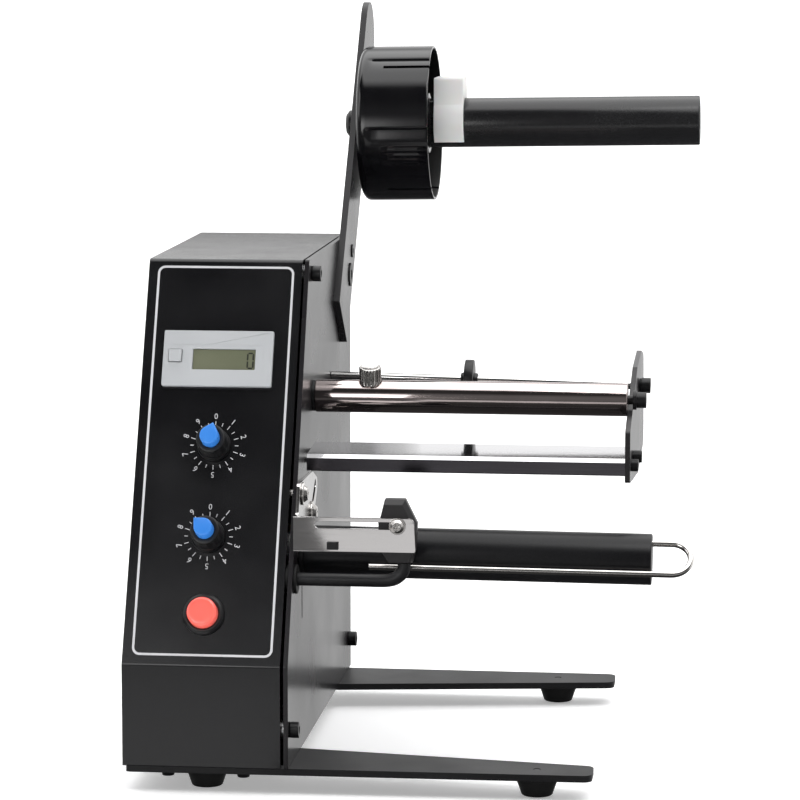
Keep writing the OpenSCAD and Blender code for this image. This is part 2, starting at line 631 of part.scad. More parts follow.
module bracket_screws() {
  color("#d5d3d2") placed() {
    for (p = bracket_at) difference() {
      union() {
        translate([out_x + 1.5, p[0], p[1]]) rotate([0, 90, 0]) cylinder(h = 0.8, r = 5);
        translate([out_x + 2.3, p[0], p[1]]) rotate([0, 90, 0]) cylinder(h = 1.8, r1 = 3.9, r2 = 2.6);
        xbar(66, out_x + 1.6, p, 2);
      }
      for (a = [0, 90]) translate([out_x + 3.4, p[0], p[1]]) rotate([a, 0, 0]) translate([0, -1.8, -0.35]) cube([2, 3.6, 0.7]);
    }
  }
}
module bracket_stop() {
  color("#202022") placed() translate([86.7, 16.8, 104]) cube([5, 1.2, 3.3]);
}
module sensor_head() {
  color("#2c2b2d") placed() difference() {
    along_y(19.6, 26) polygon([[111.3, 125.7], [109.4, 118.1], [108.4, 115.4], [109, 104], [113.2, 98], [123.2, 98], [124.8, 104], [125.3, 115.3], [120.1, 125.7]]);
    translate([117.1, 19, 114.6]) rotate([-90, 0, 0]) cylinder(h = 5, r = 1.25);
  }
}
module sensor_screw() {
  color("#d5d3d2") placed() translate([117.1, 17.9, 114.6]) rotate([90, 0, 0]) difference() {
    union() {
      cylinder(h = 0.6, r = 3.65);
      translate([0, 0, 0.6]) cylinder(h = 1.5, r1 = 2.9, r2 = 2);
      translate([0, 0, -5.6]) cylinder(h = 5.7, r = 1.2);
    }
    for (a = [0, 90]) rotate(a + 20) translate([-1.4, -0.28, 1.4]) cube([2.8, 0.56, 2]);
  }
}
module sensor_lead() { color("#222224") placed() sweep(lead_route, lead_r, 12); }
module lead_plug() { color("#e8e6dc") placed() translate([48.6, 19.9, 86.9]) cube([8.4, 6, 6]); }
module lead_grommet() {
  color("#1a1a1b") placed() difference() {
    union() {
      xbar(plate_x - 1.4, out_x + 1.4, lead_at, 5);
      xbar(plate_x - 1.4, plate_x, lead_at, 6.4);
      xbar(out_x, out_x + 1.4, lead_at, 6.4);
    }
    xbar(plate_x - 3, out_x + 3, lead_at, lead_r + 0.3);
  }
}

cover_shell();
rear_panel();
base_plate();
side_plate();
front_leg();
rear_leg();
rubber_feet();
leg_screws();
cover_screws();
spacer_posts();
counter_housing();
counter_window();
counter_reset_key();
upper_pot();
upper_pot_shaft();
upper_knob();
upper_knob_cap();
lower_pot();
lower_pot_shaft();
lower_knob();
lower_knob_cap();
pot_nuts();
switch_housing();
power_button();
power_inlet();
fuse_holder();
power_supply();
control_board();
drive_bracket();
gear_motor();
motor_shaft();
motor_pinion();
driven_gear();
rewinder_shaft();
shaft_bearings();
rewinder_tube();
rewinder_plugs();
paper_clip_wire();
roll_arm();
arm_screws();
spindle_bolt();
spindle_bush();
spindle_tube();
core_hub();
roll_clip();
guide_bar();
thumbscrew();
rear_rod();
guide_ring();
bar_screws();
peel_plate();
end_plate();
sensor_bracket();
bracket_screws();
bracket_stop();
sensor_head();
sensor_screw();
sensor_lead();
lead_plug();
lead_grommet();
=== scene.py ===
import math

import bmesh
import bpy
from mathutils import Matrix, Vector


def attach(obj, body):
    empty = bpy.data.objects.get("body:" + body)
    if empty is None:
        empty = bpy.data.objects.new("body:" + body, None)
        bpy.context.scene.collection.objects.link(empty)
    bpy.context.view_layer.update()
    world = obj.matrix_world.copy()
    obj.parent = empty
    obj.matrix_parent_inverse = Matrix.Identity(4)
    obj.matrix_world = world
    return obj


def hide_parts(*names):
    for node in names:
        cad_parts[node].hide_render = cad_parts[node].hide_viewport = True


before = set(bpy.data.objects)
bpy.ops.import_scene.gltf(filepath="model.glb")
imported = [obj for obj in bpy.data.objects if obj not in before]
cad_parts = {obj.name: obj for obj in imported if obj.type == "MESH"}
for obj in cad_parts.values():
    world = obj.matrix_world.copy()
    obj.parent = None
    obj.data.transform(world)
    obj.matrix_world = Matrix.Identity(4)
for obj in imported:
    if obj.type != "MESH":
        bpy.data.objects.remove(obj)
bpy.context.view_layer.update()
scene = bpy.context.scene
scene.view_settings.view_transform = "Standard"
scene.view_settings.look = "None"

# ---------------------------------------------------------------- frame
# The drawing frame: x = 0 is the cabinet's left wall, y = 0 its front wall, z = 0 the table, in mm.
OX, OY = 121.75, 146.2


def mm(x, y, z):
    return Vector(((x - OX) / 1000, (y - OY) / 1000, z / 1000))


# ---------------------------------------------------------------- camera
cam_data = bpy.data.cameras.new("camera")
cam_data.lens = 157.5
cam_data.sensor_width = 36
cam_data.clip_start, cam_data.clip_end = 0.05, 60
cam = bpy.data.objects.new("camera", cam_data)
scene.collection.objects.link(cam)
cam.location = mm(281.1, -1451.1, 368.0)
cam.rotation_euler = (math.radians(90 - 7.66), 0, math.radians(6.324))
scene.camera = cam

# ---------------------------------------------------------------- drawing frames of the parts
PA = math.atan2(167.5, 76.6)


def frame_at(origin, xdir, zdir):
    """Matrix that puts a piece drawn in mm with its own x and z at origin, along xdir and zdir."""
    x, z = Vector(xdir).normalized(), Vector(zdir).normalized()
    y = z.cross(x).normalized()
    x = y.cross(z)
    m = Matrix((x, y, z)).transposed().to_4x4()
    m.translation = mm(*origin)
    return m @ Matrix.Scale(0.001, 4)


def on_panel(x=0, v=0, w=0):
    """x across the panel, v up the slope from the bend, w out of it."""
    o = (x, v * math.cos(PA) - w * math.sin(PA), 55.5 + v * math.sin(PA) + w * math.cos(PA))
    return frame_at(o, (1, 0, 0), (0, -math.sin(PA), math.cos(PA)))


def tilted(px, at, deg):
    """z runs along the part's axis, x points to the rear (+Y), y up; z = 0 is drawing x = 0."""
    a = math.radians(deg)
    d = Vector((math.cos(a), 0, -math.sin(a)))
    o = Vector((px, at[0], at[1])) - px * d
    return frame_at(o, (0, 1, 0), d)


def plain():
    return Matrix.Translation(mm(0, 0, 0)) @ Matrix.Scale(0.001, 4)


REW = tilted(72, (41, 99.3), 0.4)
SPIN = tilted(75, (242.5, 274.3), -0.9)
ROD = tilted(72, (145, 163.0), 1.0)
BAR = tilted(72, (84, 161.8), 0)

# ---------------------------------------------------------------- mesh helpers


def make(name, bm, matrix, material, body="machine", nodes=(), smooth=35, bevel=None):
    """Turns a bmesh drawn in mm into a piece."""
    me = bpy.data.meshes.new(name)
    bm.transform(matrix)
    if matrix.determinant() < 0:
        bmesh.ops.reverse_faces(bm, faces=bm.faces)
    bm.to_mesh(me)
    bm.free()
    o = bpy.data.objects.new(name, me)
    scene.collection.objects.link(o)
    for m in material if isinstance(material, (list, tuple)) else [material]:
        me.materials.append(m)
    if bevel:
        finish_edges(o, bevel / 1000, smooth)
    else:
        shade(o, smooth)
    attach(o, body)
    if nodes:
        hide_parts(*nodes)
    return o


def shade(o, angle=35):
    me = o.data
    bm = bmesh.new()
    bm.from_mesh(me)
    lim = math.radians(angle)
    for e in bm.edges:
        e.smooth = len(e.link_faces) == 2 and e.calc_face_angle(0) < lim
    for f in bm.faces:
        f.smooth = True
    bm.to_mesh(me)
    bm.free()


def flatten(o):
    """Weights the normals by face size, so flat faces stay flat up to their rounded edges."""
    w = o.modifiers.new("normals", "WEIGHTED_NORMAL")
    w.keep_sharp = True
    w.weight = 100
    apply_mods(o)


def apply_mods(o):
    dg = bpy.context.evaluated_depsgraph_get()
    me = bpy.data.meshes.new_from_object(o.evaluated_get(dg))
    old = o.data
    o.modifiers.clear()
    o.data = me
    if old.users == 0:
        bpy.data.meshes.remove(old)


def finish_edges(o, width, smooth=35, segments=2, angle=32):
    b = o.modifiers.new("bevel", "BEVEL")
    b.width, b.segments, b.limit_method, b.angle_limit = width, segments, "ANGLE", math.radians(angle)
    b.use_clamp_overlap = True
    b.miter_outer = "MITER_ARC"
    apply_mods(o)
    shade(o, smooth)
    flatten(o)


def refined(node, material, width, body="machine", dissolve=0.5, segments=2, angle=32, name=None):
    """A copy of a CAD node's mesh, cleaned and with every sharp edge rounded, that stands for it."""
    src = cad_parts[node]
    bm = bmesh.new()
    bm.from_mesh(src.data)
    bmesh.ops.remove_doubles(bm, verts=bm.verts, dist=2e-6)
    bmesh.ops.dissolve_limit(bm, angle_limit=math.radians(dissolve), verts=bm.verts, edges=bm.edges)
    bmesh.ops.recalc_face_normals(bm, faces=bm.faces)
    me = bpy.data.meshes.new(name or node + "_shape")
    bm.to_mesh(me)
    bm.free()
    o = bpy.data.objects.new(name or node + "_shape", me)
    scene.collection.objects.link(o)
    me.materials.append(material)
    finish_edges(o, width / 1000, 30, segments, angle)
    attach(o, body)
    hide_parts(node)
    return o


def lathe(bm, profile, seg=96, mod=None, caps=False):
    """Turns [(z, r)] about z. mod(angle, z, r) may change r."""
    rings = []
    for z, r in profile:
        if r < 1e-6:
            rings.append([bm.verts.new((0, 0, z))])
        else:
            ring = []
            for i in range(seg):
                a = 2 * math.pi * i / seg
                q = mod(a, z, r) if mod else r
                ring.append(bm.verts.new((q * math.cos(a), q * math.sin(a), z)))
            rings.append(ring)
    for a, b in zip(rings, rings[1:]):
        if len(a) == 1 and len(b) == 1:
            continue
        for i in range(seg):
            j = (i + 1) % seg
            if len(a) == 1:
                bm.faces.new((a[0], b[i], b[j]))
            elif len(b) == 1:
                bm.faces.new((a[j], a[i], b[0]))
            else:
                bm.faces.new((a[j], a[i], b[i], b[j]))
    return rings


def closed_lathe(profile, seg=96, mod=None):
    """A closed profile loop turned about z (a ring or a tube)."""
    bm = bmesh.new()
    rings = []
    for z, r in profile:
        ring = []
        for i in range(seg):
            a = 2 * math.pi * i / seg
            q = mod(a, z, r) if mod else r
            ring.append(bm.verts.new((q * math.cos(a), q * math.sin(a), z)))
        rings.append(ring)
    n = len(rings)
    for k in range(n):
        a, b = rings[k], rings[(k + 1) % n]
        for i in range(seg):
            j = (i + 1) % seg
            bm.faces.new((a[j], a[i], b[i], b[j]))
    bmesh.ops.recalc_face_normals(bm, faces=bm.faces)
    return bm


def arc(cx, cy, r, a0, a1, n=4):
    return [(cx + r * math.cos(math.radians(a0 + (a1 - a0) * i / n)), cy + r * math.sin(math.radians(a0 + (a1 - a0) * i / n))) for i in range(n + 1)]


def tube_profile(z0, z1, ro, ri, e=0.4):
    """Closed loop of a tube's wall with rounded rims, as (z, r)."""
    p = arc(z0 + e, ro - e, e, 180, 90) + arc(z1 - e, ro - e, e, 90, 0)
    p += arc(z1 - e / 2, ri + e / 2, e / 2, 0, -90) + arc(z0 + e / 2, ri + e / 2, e / 2, 270, 180)
    return p


def bar_profile(z0, z1, r, e=0.4):
    return [(z0, 0)] + arc(z0 + e, r - e, e, 180, 90) + arc(z1 - e, r - e, e, 90, 0) + [(z1, 0)]


def prism(bm, pts, z0, z1, mat=0):
    """Closed prism over a 2D outline."""
    lo = [bm.verts.new((x, y, z0)) for x, y in pts]
    hi = [bm.verts.new((x, y, z1)) for x, y in pts]
    fs = [bm.faces.new(lo[::-1]), bm.faces.new(hi)]
    n = len(pts)
    for i in range(n):
        j = (i + 1) % n
        fs.append(bm.faces.new((lo[i], lo[j], hi[j], hi[i])))
    for f in fs:
        f.material_index = mat
    return lo, hi


def round_rect(x0, y0, x1, y1, r, n=5):
    return (
        arc(x1 - r, y0 + r, r, -90, 0, n) + arc(x1 - r, y1 - r, r, 0, 90, n) + arc(x0 + r, y1 - r, r, 90, 180, n) + arc(x0 + r, y0 + r, r, 180, 270, n)
    )


def sweep(points, r, seg=20, close_ends=True):
    """Round tube along smooth points, in mm, with rounded ends."""
    bm = bmesh.new()
    pts = [Vector(p) for p in points]
    rings = []
    t0 = (pts[1] - pts[0]).normalized()
    up = Vector((0, 0, 1)) if abs(t0.z) < 0.9 else Vector((1, 0, 0))
    n = t0.cross(up).normalized()
    for i, p in enumerate(pts):
        t = (pts[min(i + 1, len(pts) - 1)] - pts[max(i - 1, 0)]).normalized()
        n = (n - t * n.dot(t)).normalized()
        b = t.cross(n)
        rings.append((p, n.copy(), b, t))

    def ring(c, n, b, q):
        return [bm.verts.new(c + q * (math.cos(2 * math.pi * k / seg) * n + math.sin(2 * math.pi * k / seg) * b)) for k in range(seg)]

    made = []
    if close_ends:
        p, n0, b0, t0 = rings[0]
        for a in (0.2, 0.5, 0.8):
            made.append(ring(p + t0 * r * (1 - math.sin(a * math.pi / 2)) * 0.9, n0, b0, r * math.sqrt(1 - (1 - math.sin(a * math.pi / 2)) ** 2)))
        made = made
    for i, (p, n0, b0, t0) in enumerate(rings):
        if close_ends and (i == 0 or i == len(rings) - 1):
            continue
        made.append(ring(p, n0, b0, r))
    if close_ends:
        p, n0, b0, t0 = rings[-1]
        for a in (0.8, 0.5, 0.2):
            made.append(ring(p - t0 * r * (1 - math.sin(a * math.pi / 2)) * 0.9, n0, b0, r * math.sqrt(1 - (1 - math.sin(a * math.pi / 2)) ** 2)))
    for a, b in zip(made, made[1:]):
        for k in range(seg):
            j = (k + 1) % seg
            bm.faces.new((a[k], a[j], b[j], b[k]))
    bm.faces.new(made[0][::-1])
    bm.faces.new(made[-1])
    bmesh.ops.recalc_face_normals(bm, faces=bm.faces)
    return bm


def boolean(o, cutter_bm, matrix, op="DIFFERENCE"):
    me = bpy.data.meshes.new("cutter")
    cutter_bm.transform(matrix)
    bmesh.ops.recalc_face_normals(cutter_bm, faces=cutter_bm.faces)
    cutter_bm.to_mesh(me)
    cutter_bm.free()
    c = bpy.data.objects.new("cutter", me)
    scene.collection.objects.link(c)
    m = o.modifiers.new("cut", "BOOLEAN")
    m.operation, m.object, m.solver = op, c, "EXACT"
    apply_mods(o)
    bpy.data.objects.remove(c)
    bpy.data.meshes.remove(me)
    return o


# ---------------------------------------------------------------- materials
def nodes_of(name):
    m = bpy.data.materials.new(name)
    m.use_nodes = True
    nt = m.node_tree
    b = nt.nodes["Principled BSDF"]
    return m, nt, b


def coords(nt, scale=1.0, stretch=(1, 1, 1)):
    tc = nt.nodes.new("ShaderNodeTexCoord")
    mp = nt.nodes.new("ShaderNodeMapping")
    mp.inputs["Scale"].default_value = [scale * s for s in stretch]
    nt.links.new(tc.outputs["Object"], mp.inputs["Vector"])
    return mp.outputs["Vector"]


def noise(nt, vec, scale, detail=4, rough=0.5):
    n = nt.nodes.new("ShaderNodeTexNoise")
    n.inputs["Scale"].default_value = scale
    n.inputs["Detail"].default_value = detail
    n.inputs["Roughness"].default_value = rough
    nt.links.new(vec, n.inputs["Vector"])
    return n.outputs["Fac"]


def ramp(nt, fac, stops):
    r = nt.nodes.new("ShaderNodeValToRGB")
    e = r.color_ramp.elements
    for p, c in stops[1:-1]:
        e.new(p).color = (*c, 1)
    for k, (p, c) in ((e[len(e) - 1], stops[-1]), (e[0], stops[0])):
        k.position = p
        k.color = (*c, 1)
    nt.links.new(fac, r.inputs["Fac"])
    return r.outputs["Color"]


def spread(nt, fac, a, b, lo=0.3, hi=0.7):
    r = nt.nodes.new("ShaderNodeMapRange")
    r.inputs["From Min"].default_value, r.inputs["From Max"].default_value = lo, hi
    r.inputs["To Min"].default_value, r.inputs["To Max"].default_value = a, b
    nt.links.new(fac, r.inputs["Value"])
    return r.outputs["Result"]


def bump(nt, bsdf, fac, strength, dist=0.0002, before=None):
    n = nt.nodes.new("ShaderNodeBump")
    n.inputs["Strength"].default_value = strength
    n.inputs["Distance"].default_value = dist
    nt.links.new(fac, n.inputs["Height"])
    if before is not None:
        nt.links.new(before, n.inputs["Normal"])
    nt.links.new(n.outputs["Normal"], bsdf.inputs["Normal"])
    return n.outputs["Normal"]


def coat_paint(name, dark, light, rough, grain=2600, strength=0.25, ior=1.5, tone=18, spec=0.5, metallic=0.0, wear=0.05):
    """Fine textured powder coat: an orange-peel grain, slow tone changes and a little uneven gloss."""
    m, nt, b = nodes_of(name)
    v = coords(nt)
    slow = noise(nt, v, tone, 3)
    fine = noise(nt, v, grain, 2, 0.6)
    mix = nt.nodes.new("ShaderNodeMath")
    mix.operation = "ADD"
    half = nt.nodes.new("ShaderNodeMath")
    half.operation = "MULTIPLY"
    half.inputs[1].default_value = 0.5
    nt.links.new(slow, mix.inputs[0])
    nt.links.new(fine, mix.inputs[1])
    nt.links.new(mix.outputs[0], half.inputs[0])
    nt.links.new(ramp(nt, half.outputs[0], [(0.35, dark), (0.65, light)]), b.inputs["Base Color"])
    nt.links.new(spread(nt, slow, rough - wear, rough + wear), b.inputs["Roughness"])
    b.inputs["IOR"].default_value = ior
    b.inputs["Specular IOR Level"].default_value = spec
    b.inputs["Metallic"].default_value = metallic
    bump(nt, b, fine, strength, 0.00008)
    return m


def plastic(name, dark, light, rough, grain=900, strength=0.08, ior=1.5, spec=0.5, coat=0.0, tone=30, sss=0.0):
    m, nt, b = nodes_of(name)
    v = coords(nt)
    slow = noise(nt, v, tone, 3)
    fine = noise(nt, v, grain, 3, 0.55)
    nt.links.new(ramp(nt, slow, [(0.3, dark), (0.7, light)]), b.inputs["Base Color"])
    nt.links.new(spread(nt, slow, max(0.02, rough - 0.04), rough + 0.05), b.inputs["Roughness"])
    b.inputs["IOR"].default_value = ior
    b.inputs["Specular IOR Level"].default_value = spec
    if coat:
        b.inputs["Coat Weight"].default_value = coat
        b.inputs["Coat Roughness"].default_value = 0.06
    if sss:
        b.inputs["Subsurface Weight"].default_value = sss
        b.inputs["Subsurface Scale"].default_value = 0.002
    bump(nt, b, fine, strength, 0.0001)
    return m


def metal(name, dark, light, rough, stretch=(1, 1, 1), grain=900, strength=0.05, tone=14, vary=0.05):
    """Metal with fine drawn or rolled lines along the long axis and slow tone changes."""
    m, nt, b = nodes_of(name)
    v = coords(nt, 1, stretch)
    slow = noise(nt, coords(nt), tone, 4)
    lines = noise(nt, v, grain, 3, 0.6)
    nt.links.new(ramp(nt, slow, [(0.3, dark), (0.7, light)]), b.inputs["Base Color"])
    nt.links.new(spread(nt, lines, max(0.02, rough - vary), rough + vary), b.inputs["Roughness"])
    b.inputs["Metallic"].default_value = 1.0
    bump(nt, b, lines, strength, 0.00004)
    return m


BLACK = coat_paint("black powder coat", (0.005, 0.005, 0.006), (0.010, 0.010, 0.011), 0.22, 2400, 0.20, 1.5, 26, 0.45)
SIDE = coat_paint("side plate powder coat", (0.012, 0.011, 0.012), (0.018, 0.017, 0.019), 0.26, 2000, 0.10, 1.5, 12, 0.26)
TOPC = coat_paint("arm powder coat", (0.012, 0.011, 0.012), (0.018, 0.017, 0.019), 0.26, 2000, 0.10, 1.5, 12, 0.26)
LEG = coat_paint("leg powder coat", (0.010, 0.010, 0.011), (0.016, 0.016, 0.017), 0.45, 2400, 0.4, 1.45, 26, 0.25)
INNER = coat_paint("inner sheet", (0.03, 0.03, 0.032), (0.05, 0.05, 0.052), 0.45, 1500, 0.2)
SCREW = coat_paint("black oxide screw", (0.004, 0.004, 0.005), (0.009, 0.009, 0.010), 0.36, 3000, 0.15, 1.5, 60, 0.4)
RUBBER = plastic("black rubber", (0.006, 0.006, 0.006), (0.012, 0.012, 0.012), 0.6, 1600, 0.5, 1.45, 0.3)
LEADM = plastic("lead sheath", (0.006, 0.006, 0.007), (0.012, 0.012, 0.014), 0.4, 1400, 0.12, 1.5, 0.4)
SATIN = plastic("black satin plastic", (0.005, 0.005, 0.006), (0.010, 0.010, 0.011), 0.36, 1500, 0.12, 1.5, 0.4)
HEAD = plastic("sensor case", (0.012, 0.011, 0.012), (0.020, 0.019, 0.020), 0.40, 1500, 0.15, 1.5, 0.4)
GLOSS = plastic("glossy black moulding", (0.003, 0.003, 0.004), (0.006, 0.006, 0.007), 0.12, 300, 0.02, 1.5, 0.5)
TUBE = coat_paint("black satin tube", (0.010, 0.010, 0.011), (0.016, 0.016, 0.017), 0.22, 1200, 0.06, 1.5, 20, 0.5)
WHITE = plastic("white housing", (0.47, 0.485, 0.50), (0.53, 0.545, 0.56), 0.32, 900, 0.05, 1.5, 0.5, 0.0, 20)
NYLON = plastic("white nylon", (0.76, 0.76, 0.75), (0.84, 0.84, 0.83), 0.42, 700, 0.12, 1.5, 0.4, 0.0, 24, 0.15)
PRINT = plastic("white print", (0.62, 0.62, 0.64), (0.74, 0.74, 0.76), 0.5, 2500, 0.1)
BLUE = plastic("blue cap", (0.035, 0.225, 0.74), (0.052, 0.275, 0.82), 0.30, 1200, 0.06)
# The emission on the red cap is a painted glow, a painted highlight that brightens the whole cap.
RED = plastic("red cap with painted glow", (0.95, 0.13, 0.10), (1.0, 0.165, 0.13), 0.20, 900, 0.04, 1.5, 0.5, 0.3, 40, 0.2)
RED.node_tree.nodes["Principled BSDF"].inputs["Emission Color"].default_value = (1.0, 0.17, 0.14, 1)
RED.node_tree.nodes["Principled BSDF"].inputs["Emission Strength"].default_value = 0.22
LCD = plastic("display glass", (0.155, 0.165, 0.108), (0.18, 0.19, 0.127), 0.16, 400, 0.02, 1.5, 0.5, 0.3, 40)
SEGM = plastic("display segments", (0.012, 0.013, 0.010), (0.02, 0.021, 0.016), 0.3, 900, 0.02)
# The warm brownish tint in the chrome bar's colour is a painted reflection of warm surroundings.
CHROME = metal("chrome bar", (0.50, 0.43, 0.42), (0.66, 0.58, 0.565), 0.085, (0.05, 1, 1), 2600, 0.10, 26, 0.045)
RODM = metal("chrome rod", (0.70, 0.69, 0.68), (0.80, 0.79, 0.78), 0.09, (0.02, 1, 1), 2200, 0.05, 10, 0.03)
WIRE = metal("stainless wire", (0.62, 0.60, 0.58), (0.74, 0.72, 0.70), 0.17, (0.05, 1, 1), 2200, 0.08, 20, 0.05)
MIRROR = metal("polished sheet", (0.74, 0.72, 0.715), (0.80, 0.78, 0.775), 0.055, (0.03, 1, 1), 1600, 0.02, 9, 0.02)
# Darker, rougher copy of the bracket's sheet metal: painted shade for the faces that face +x.
SHEET_PAINTED_SHADE = metal("darker sheet painted shade", (0.36, 0.35, 0.345), (0.44, 0.43, 0.425), 0.16, (0.2, 1, 1), 1600, 0.03, 40, 0.03)
PEEL = metal("ground bar", (0.70, 0.695, 0.71), (0.78, 0.775, 0.79), 0.08, (0.02, 1, 1), 1800, 0.03, 8, 0.03)
PEEL2 = metal("ground bar edge", (0.08, 0.075, 0.085), (0.12, 0.115, 0.125), 0.22, (0.02, 1, 1), 1800, 0.05, 8, 0.04)
NICKEL = metal("nickel knurl", (0.58, 0.56, 0.54), (0.72, 0.70, 0.68), 0.26, (1, 1, 1), 900, 0.03, 60, 0.05)
# Darker, rougher, less reflective black used as painted shade inside the hub's cup.
HUBIN = plastic("hub inside painted shade", (0.002, 0.002, 0.002), (0.004, 0.004, 0.004), 0.5, 300, 0.02, 1.5, 0.12)
ZINC = metal("zinc plate", (0.55, 0.55, 0.56), (0.68, 0.68, 0.69), 0.30, (1, 1, 1), 900, 0.15, 40, 0.08)
BRASS = metal("brass", (0.55, 0.40, 0.16), (0.66, 0.50, 0.22), 0.3, (1, 1, 1), 900, 0.1, 40, 0.06)
CASE = metal("pressed case", (0.45, 0.45, 0.46), (0.6, 0.6, 0.61), 0.4, (1, 1, 1), 700, 0.15, 30, 0.08)
BOARD = plastic("solder mask", (0.015, 0.13, 0.05), (0.025, 0.19, 0.075), 0.35, 500, 0.1)
GEAR = plastic("natural nylon", (0.62, 0.58, 0.46), (0.72, 0.69, 0.58), 0.45, 700, 0.1)
TUBE2 = coat_paint("black rewinder tube", (0.004, 0.004, 0.005), (0.009, 0.009, 0.010), 0.32, 1200, 0.12, 1.45, 20, 0.3)
PLATE = coat_paint("end plate powder coat", (0.012, 0.011, 0.012), (0.020, 0.018, 0.020), 0.30, 2000, 0.2, 1.5, 14, 0.4)
# Near-black sheet used as painted shade behind the rear vents.
VENT_PAINTED_SHADE = plastic("black painted shade sheet", (0.004, 0.004, 0.004), (0.008, 0.008, 0.008), 0.85, 1500, 0.8, 1.4, 0.1)


# ---------------------------------------------------------------- cabinet
def keep(node, material):
    """A CAD node that stays as it is, with a better material."""
    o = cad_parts[node]
    if not o.data.materials:
        o.data.materials.append(material)
    for s in o.material_slots:
        s.material = material


refined("cover_shell", BLACK, 0.3)
keep("rear_panel", BLACK)
keep("base_plate", INNER)
refined("side_plate", SIDE, 0.3)
refined("front_leg", LEG, 0.35)
refined("rear_leg", LEG, 0.35)
refined("cover_screws", SCREW, 0.45, segments=3)
refined("arm_screws", SCREW, 0.4, segments=3)
refined("leg_screws", SCREW, 0.35)
refined("power_inlet", SATIN, 0.35)
refined("fuse_holder", SATIN, 0.5)

# rubber feet with a rolled lip and a recess for the screw
bm = bmesh.new()
for fx, fy in [(178, 13), (174.8, 199.5), (34.5, 15), (34.5, 197)]:
    prof = [(0.0, 3.6), (0.0, 5.9), (0.12, 6.35), (0.5, 6.75)]
    prof += [(1.5, 7.1), (3, 7.6), (5, 8.3), (6.6, 9.0)] + [(7.2, 9.45), (7.6, 9.9), (7.9, 9.95), (8.0, 9.7)]
    prof += [(8.0, 1.6), (3.5, 1.6), (3.5, 3.6)]
    part = closed_lathe(prof, 72)
    bmesh.ops.transform(part, matrix=Matrix.Translation((fx, fy, 0)), verts=part.verts)
    tmp = bpy.data.meshes.new("t")
    part.to_mesh(tmp)
    part.free()
    bm.from_mesh(tmp)
    bpy.data.meshes.remove(tmp)
make("rubber_feet_shape", bm, plain(), RUBBER, nodes=["rubber_feet"], smooth=40)


# ---------------------------------------------------------------- print on the panel
def flat_band(outer, inner, z0, z1):
    bm = bmesh.new()
    n = len(outer)
    rows = [[bm.verts.new((x, y, z)) for x, y in pts] for pts, z in ((outer, z0), (outer, z1), (inner, z1), (inner, z0))]
    for k in range(4):
        a, b = rows[k], rows[(k + 1) % 4]
        for i in range(n):
            j = (i + 1) % n
            bm.faces.new((a[i], a[j], b[j], b[i]))
    bmesh.ops.recalc_face_normals(bm, faces=bm.faces)
    return bm


LINE = 0.04
bm = flat_band(round_rect(4.1, 4.2, 65.1, 181.0, 3.4, 8), round_rect(5.1, 5.2, 64.1, 180.0, 2.5, 8), 0.0, LINE)
make("panel_border_line", bm, on_panel(), PRINT)

GLYPH = {}


def glyph(ch):
    """Digit outline drawn with the plain built-in face, as a closed thin mesh centred on its own box."""
    if ch not in GLYPH:
        cu = bpy.data.curves.new("digit", "FONT")
        cu.body, cu.size, cu.extrude, cu.resolution_u = ch, 1.0, 0.5, 4
        cu.align_x = "CENTER"
        ob = bpy.data.objects.new("digit", cu)
        scene.collection.objects.link(ob)
        dg = bpy.context.evaluated_depsgraph_get()
        me = bpy.data.meshes.new_from_object(ob.evaluated_get(dg))
        bpy.data.objects.remove(ob)
        bpy.data.curves.remove(cu)
        xs = [v.co.x for v in me.vertices]
        ys = [v.co.y for v in me.vertices]
        w, h = max(xs) - min(xs), max(ys) - min(ys)
        cx, cy = (max(xs) + min(xs)) / 2, (max(ys) + min(ys)) / 2
        for v in me.vertices:
            v.co = ((v.co.x - cx) / h, (v.co.y - cy) / h, v.co.z + 0.5)
        GLYPH[ch] = me
    return GLYPH[ch]


def dial(name, at):
    bm = bmesh.new()
    for k in range(20):
        a = math.radians(18 * k)
        r0, r1 = (8.9, 11.0) if k % 2 == 0 else (9.1, 10.6)
        hw = 0.16
        c, s = math.sin(a), math.cos(a)
        q = [(-hw, r0), (hw, r0), (hw, r1), (-hw, r1)]
        prism(bm, [(x * s + y * c, -x * c + y * s) for x, y in q], 0, LINE)
    for k in range(10):
        a = math.radians(36 * k)
        me = glyph(str(k))
        tmp = bmesh.new()
        tmp.from_mesh(me)
        rot = Matrix.Rotation(-a, 4, "Z")
        place = Matrix.Translation((13.3 * math.sin(a), 13.3 * math.cos(a), 0)) @ rot @ Matrix.Diagonal((2.35, 2.5, LINE, 1))
        bmesh.ops.transform(tmp, matrix=place, verts=tmp.verts)
        t = bpy.data.meshes.new("t")
        tmp.to_mesh(t)
        tmp.free()
        bm.from_mesh(t)
        bpy.data.meshes.remove(t)
    bmesh.ops.remove_doubles(bm, verts=bm.verts, dist=1e-5)
    bmesh.ops.recalc_face_normals(bm, faces=bm.faces)
    make(name, bm, on_panel(*at), PRINT)


dial("upper_dial_print", (34.3, 98.3))
dial("lower_dial_print", (34.3, 57.3))

# ---------------------------------------------------------------- counter
o = refined("counter_housing", WHITE, 0.45, segments=3)
refined("counter_reset_key", WHITE, 0.35, "reset_key", segments=3)
refined("counter_window", LCD, 0.12)
bm = bmesh.new()
E0, E1 = 2.19, 2.27
for q in (
    [(12.6, 143.75), (53.2, 143.75), (53.2, 143.98), (12.6, 143.98)],
    [(53.7, 129.3), (53.93, 129.3), (53.93, 143.98), (53.7, 143.98)],
):
    prism(bm, q, E0, E1)
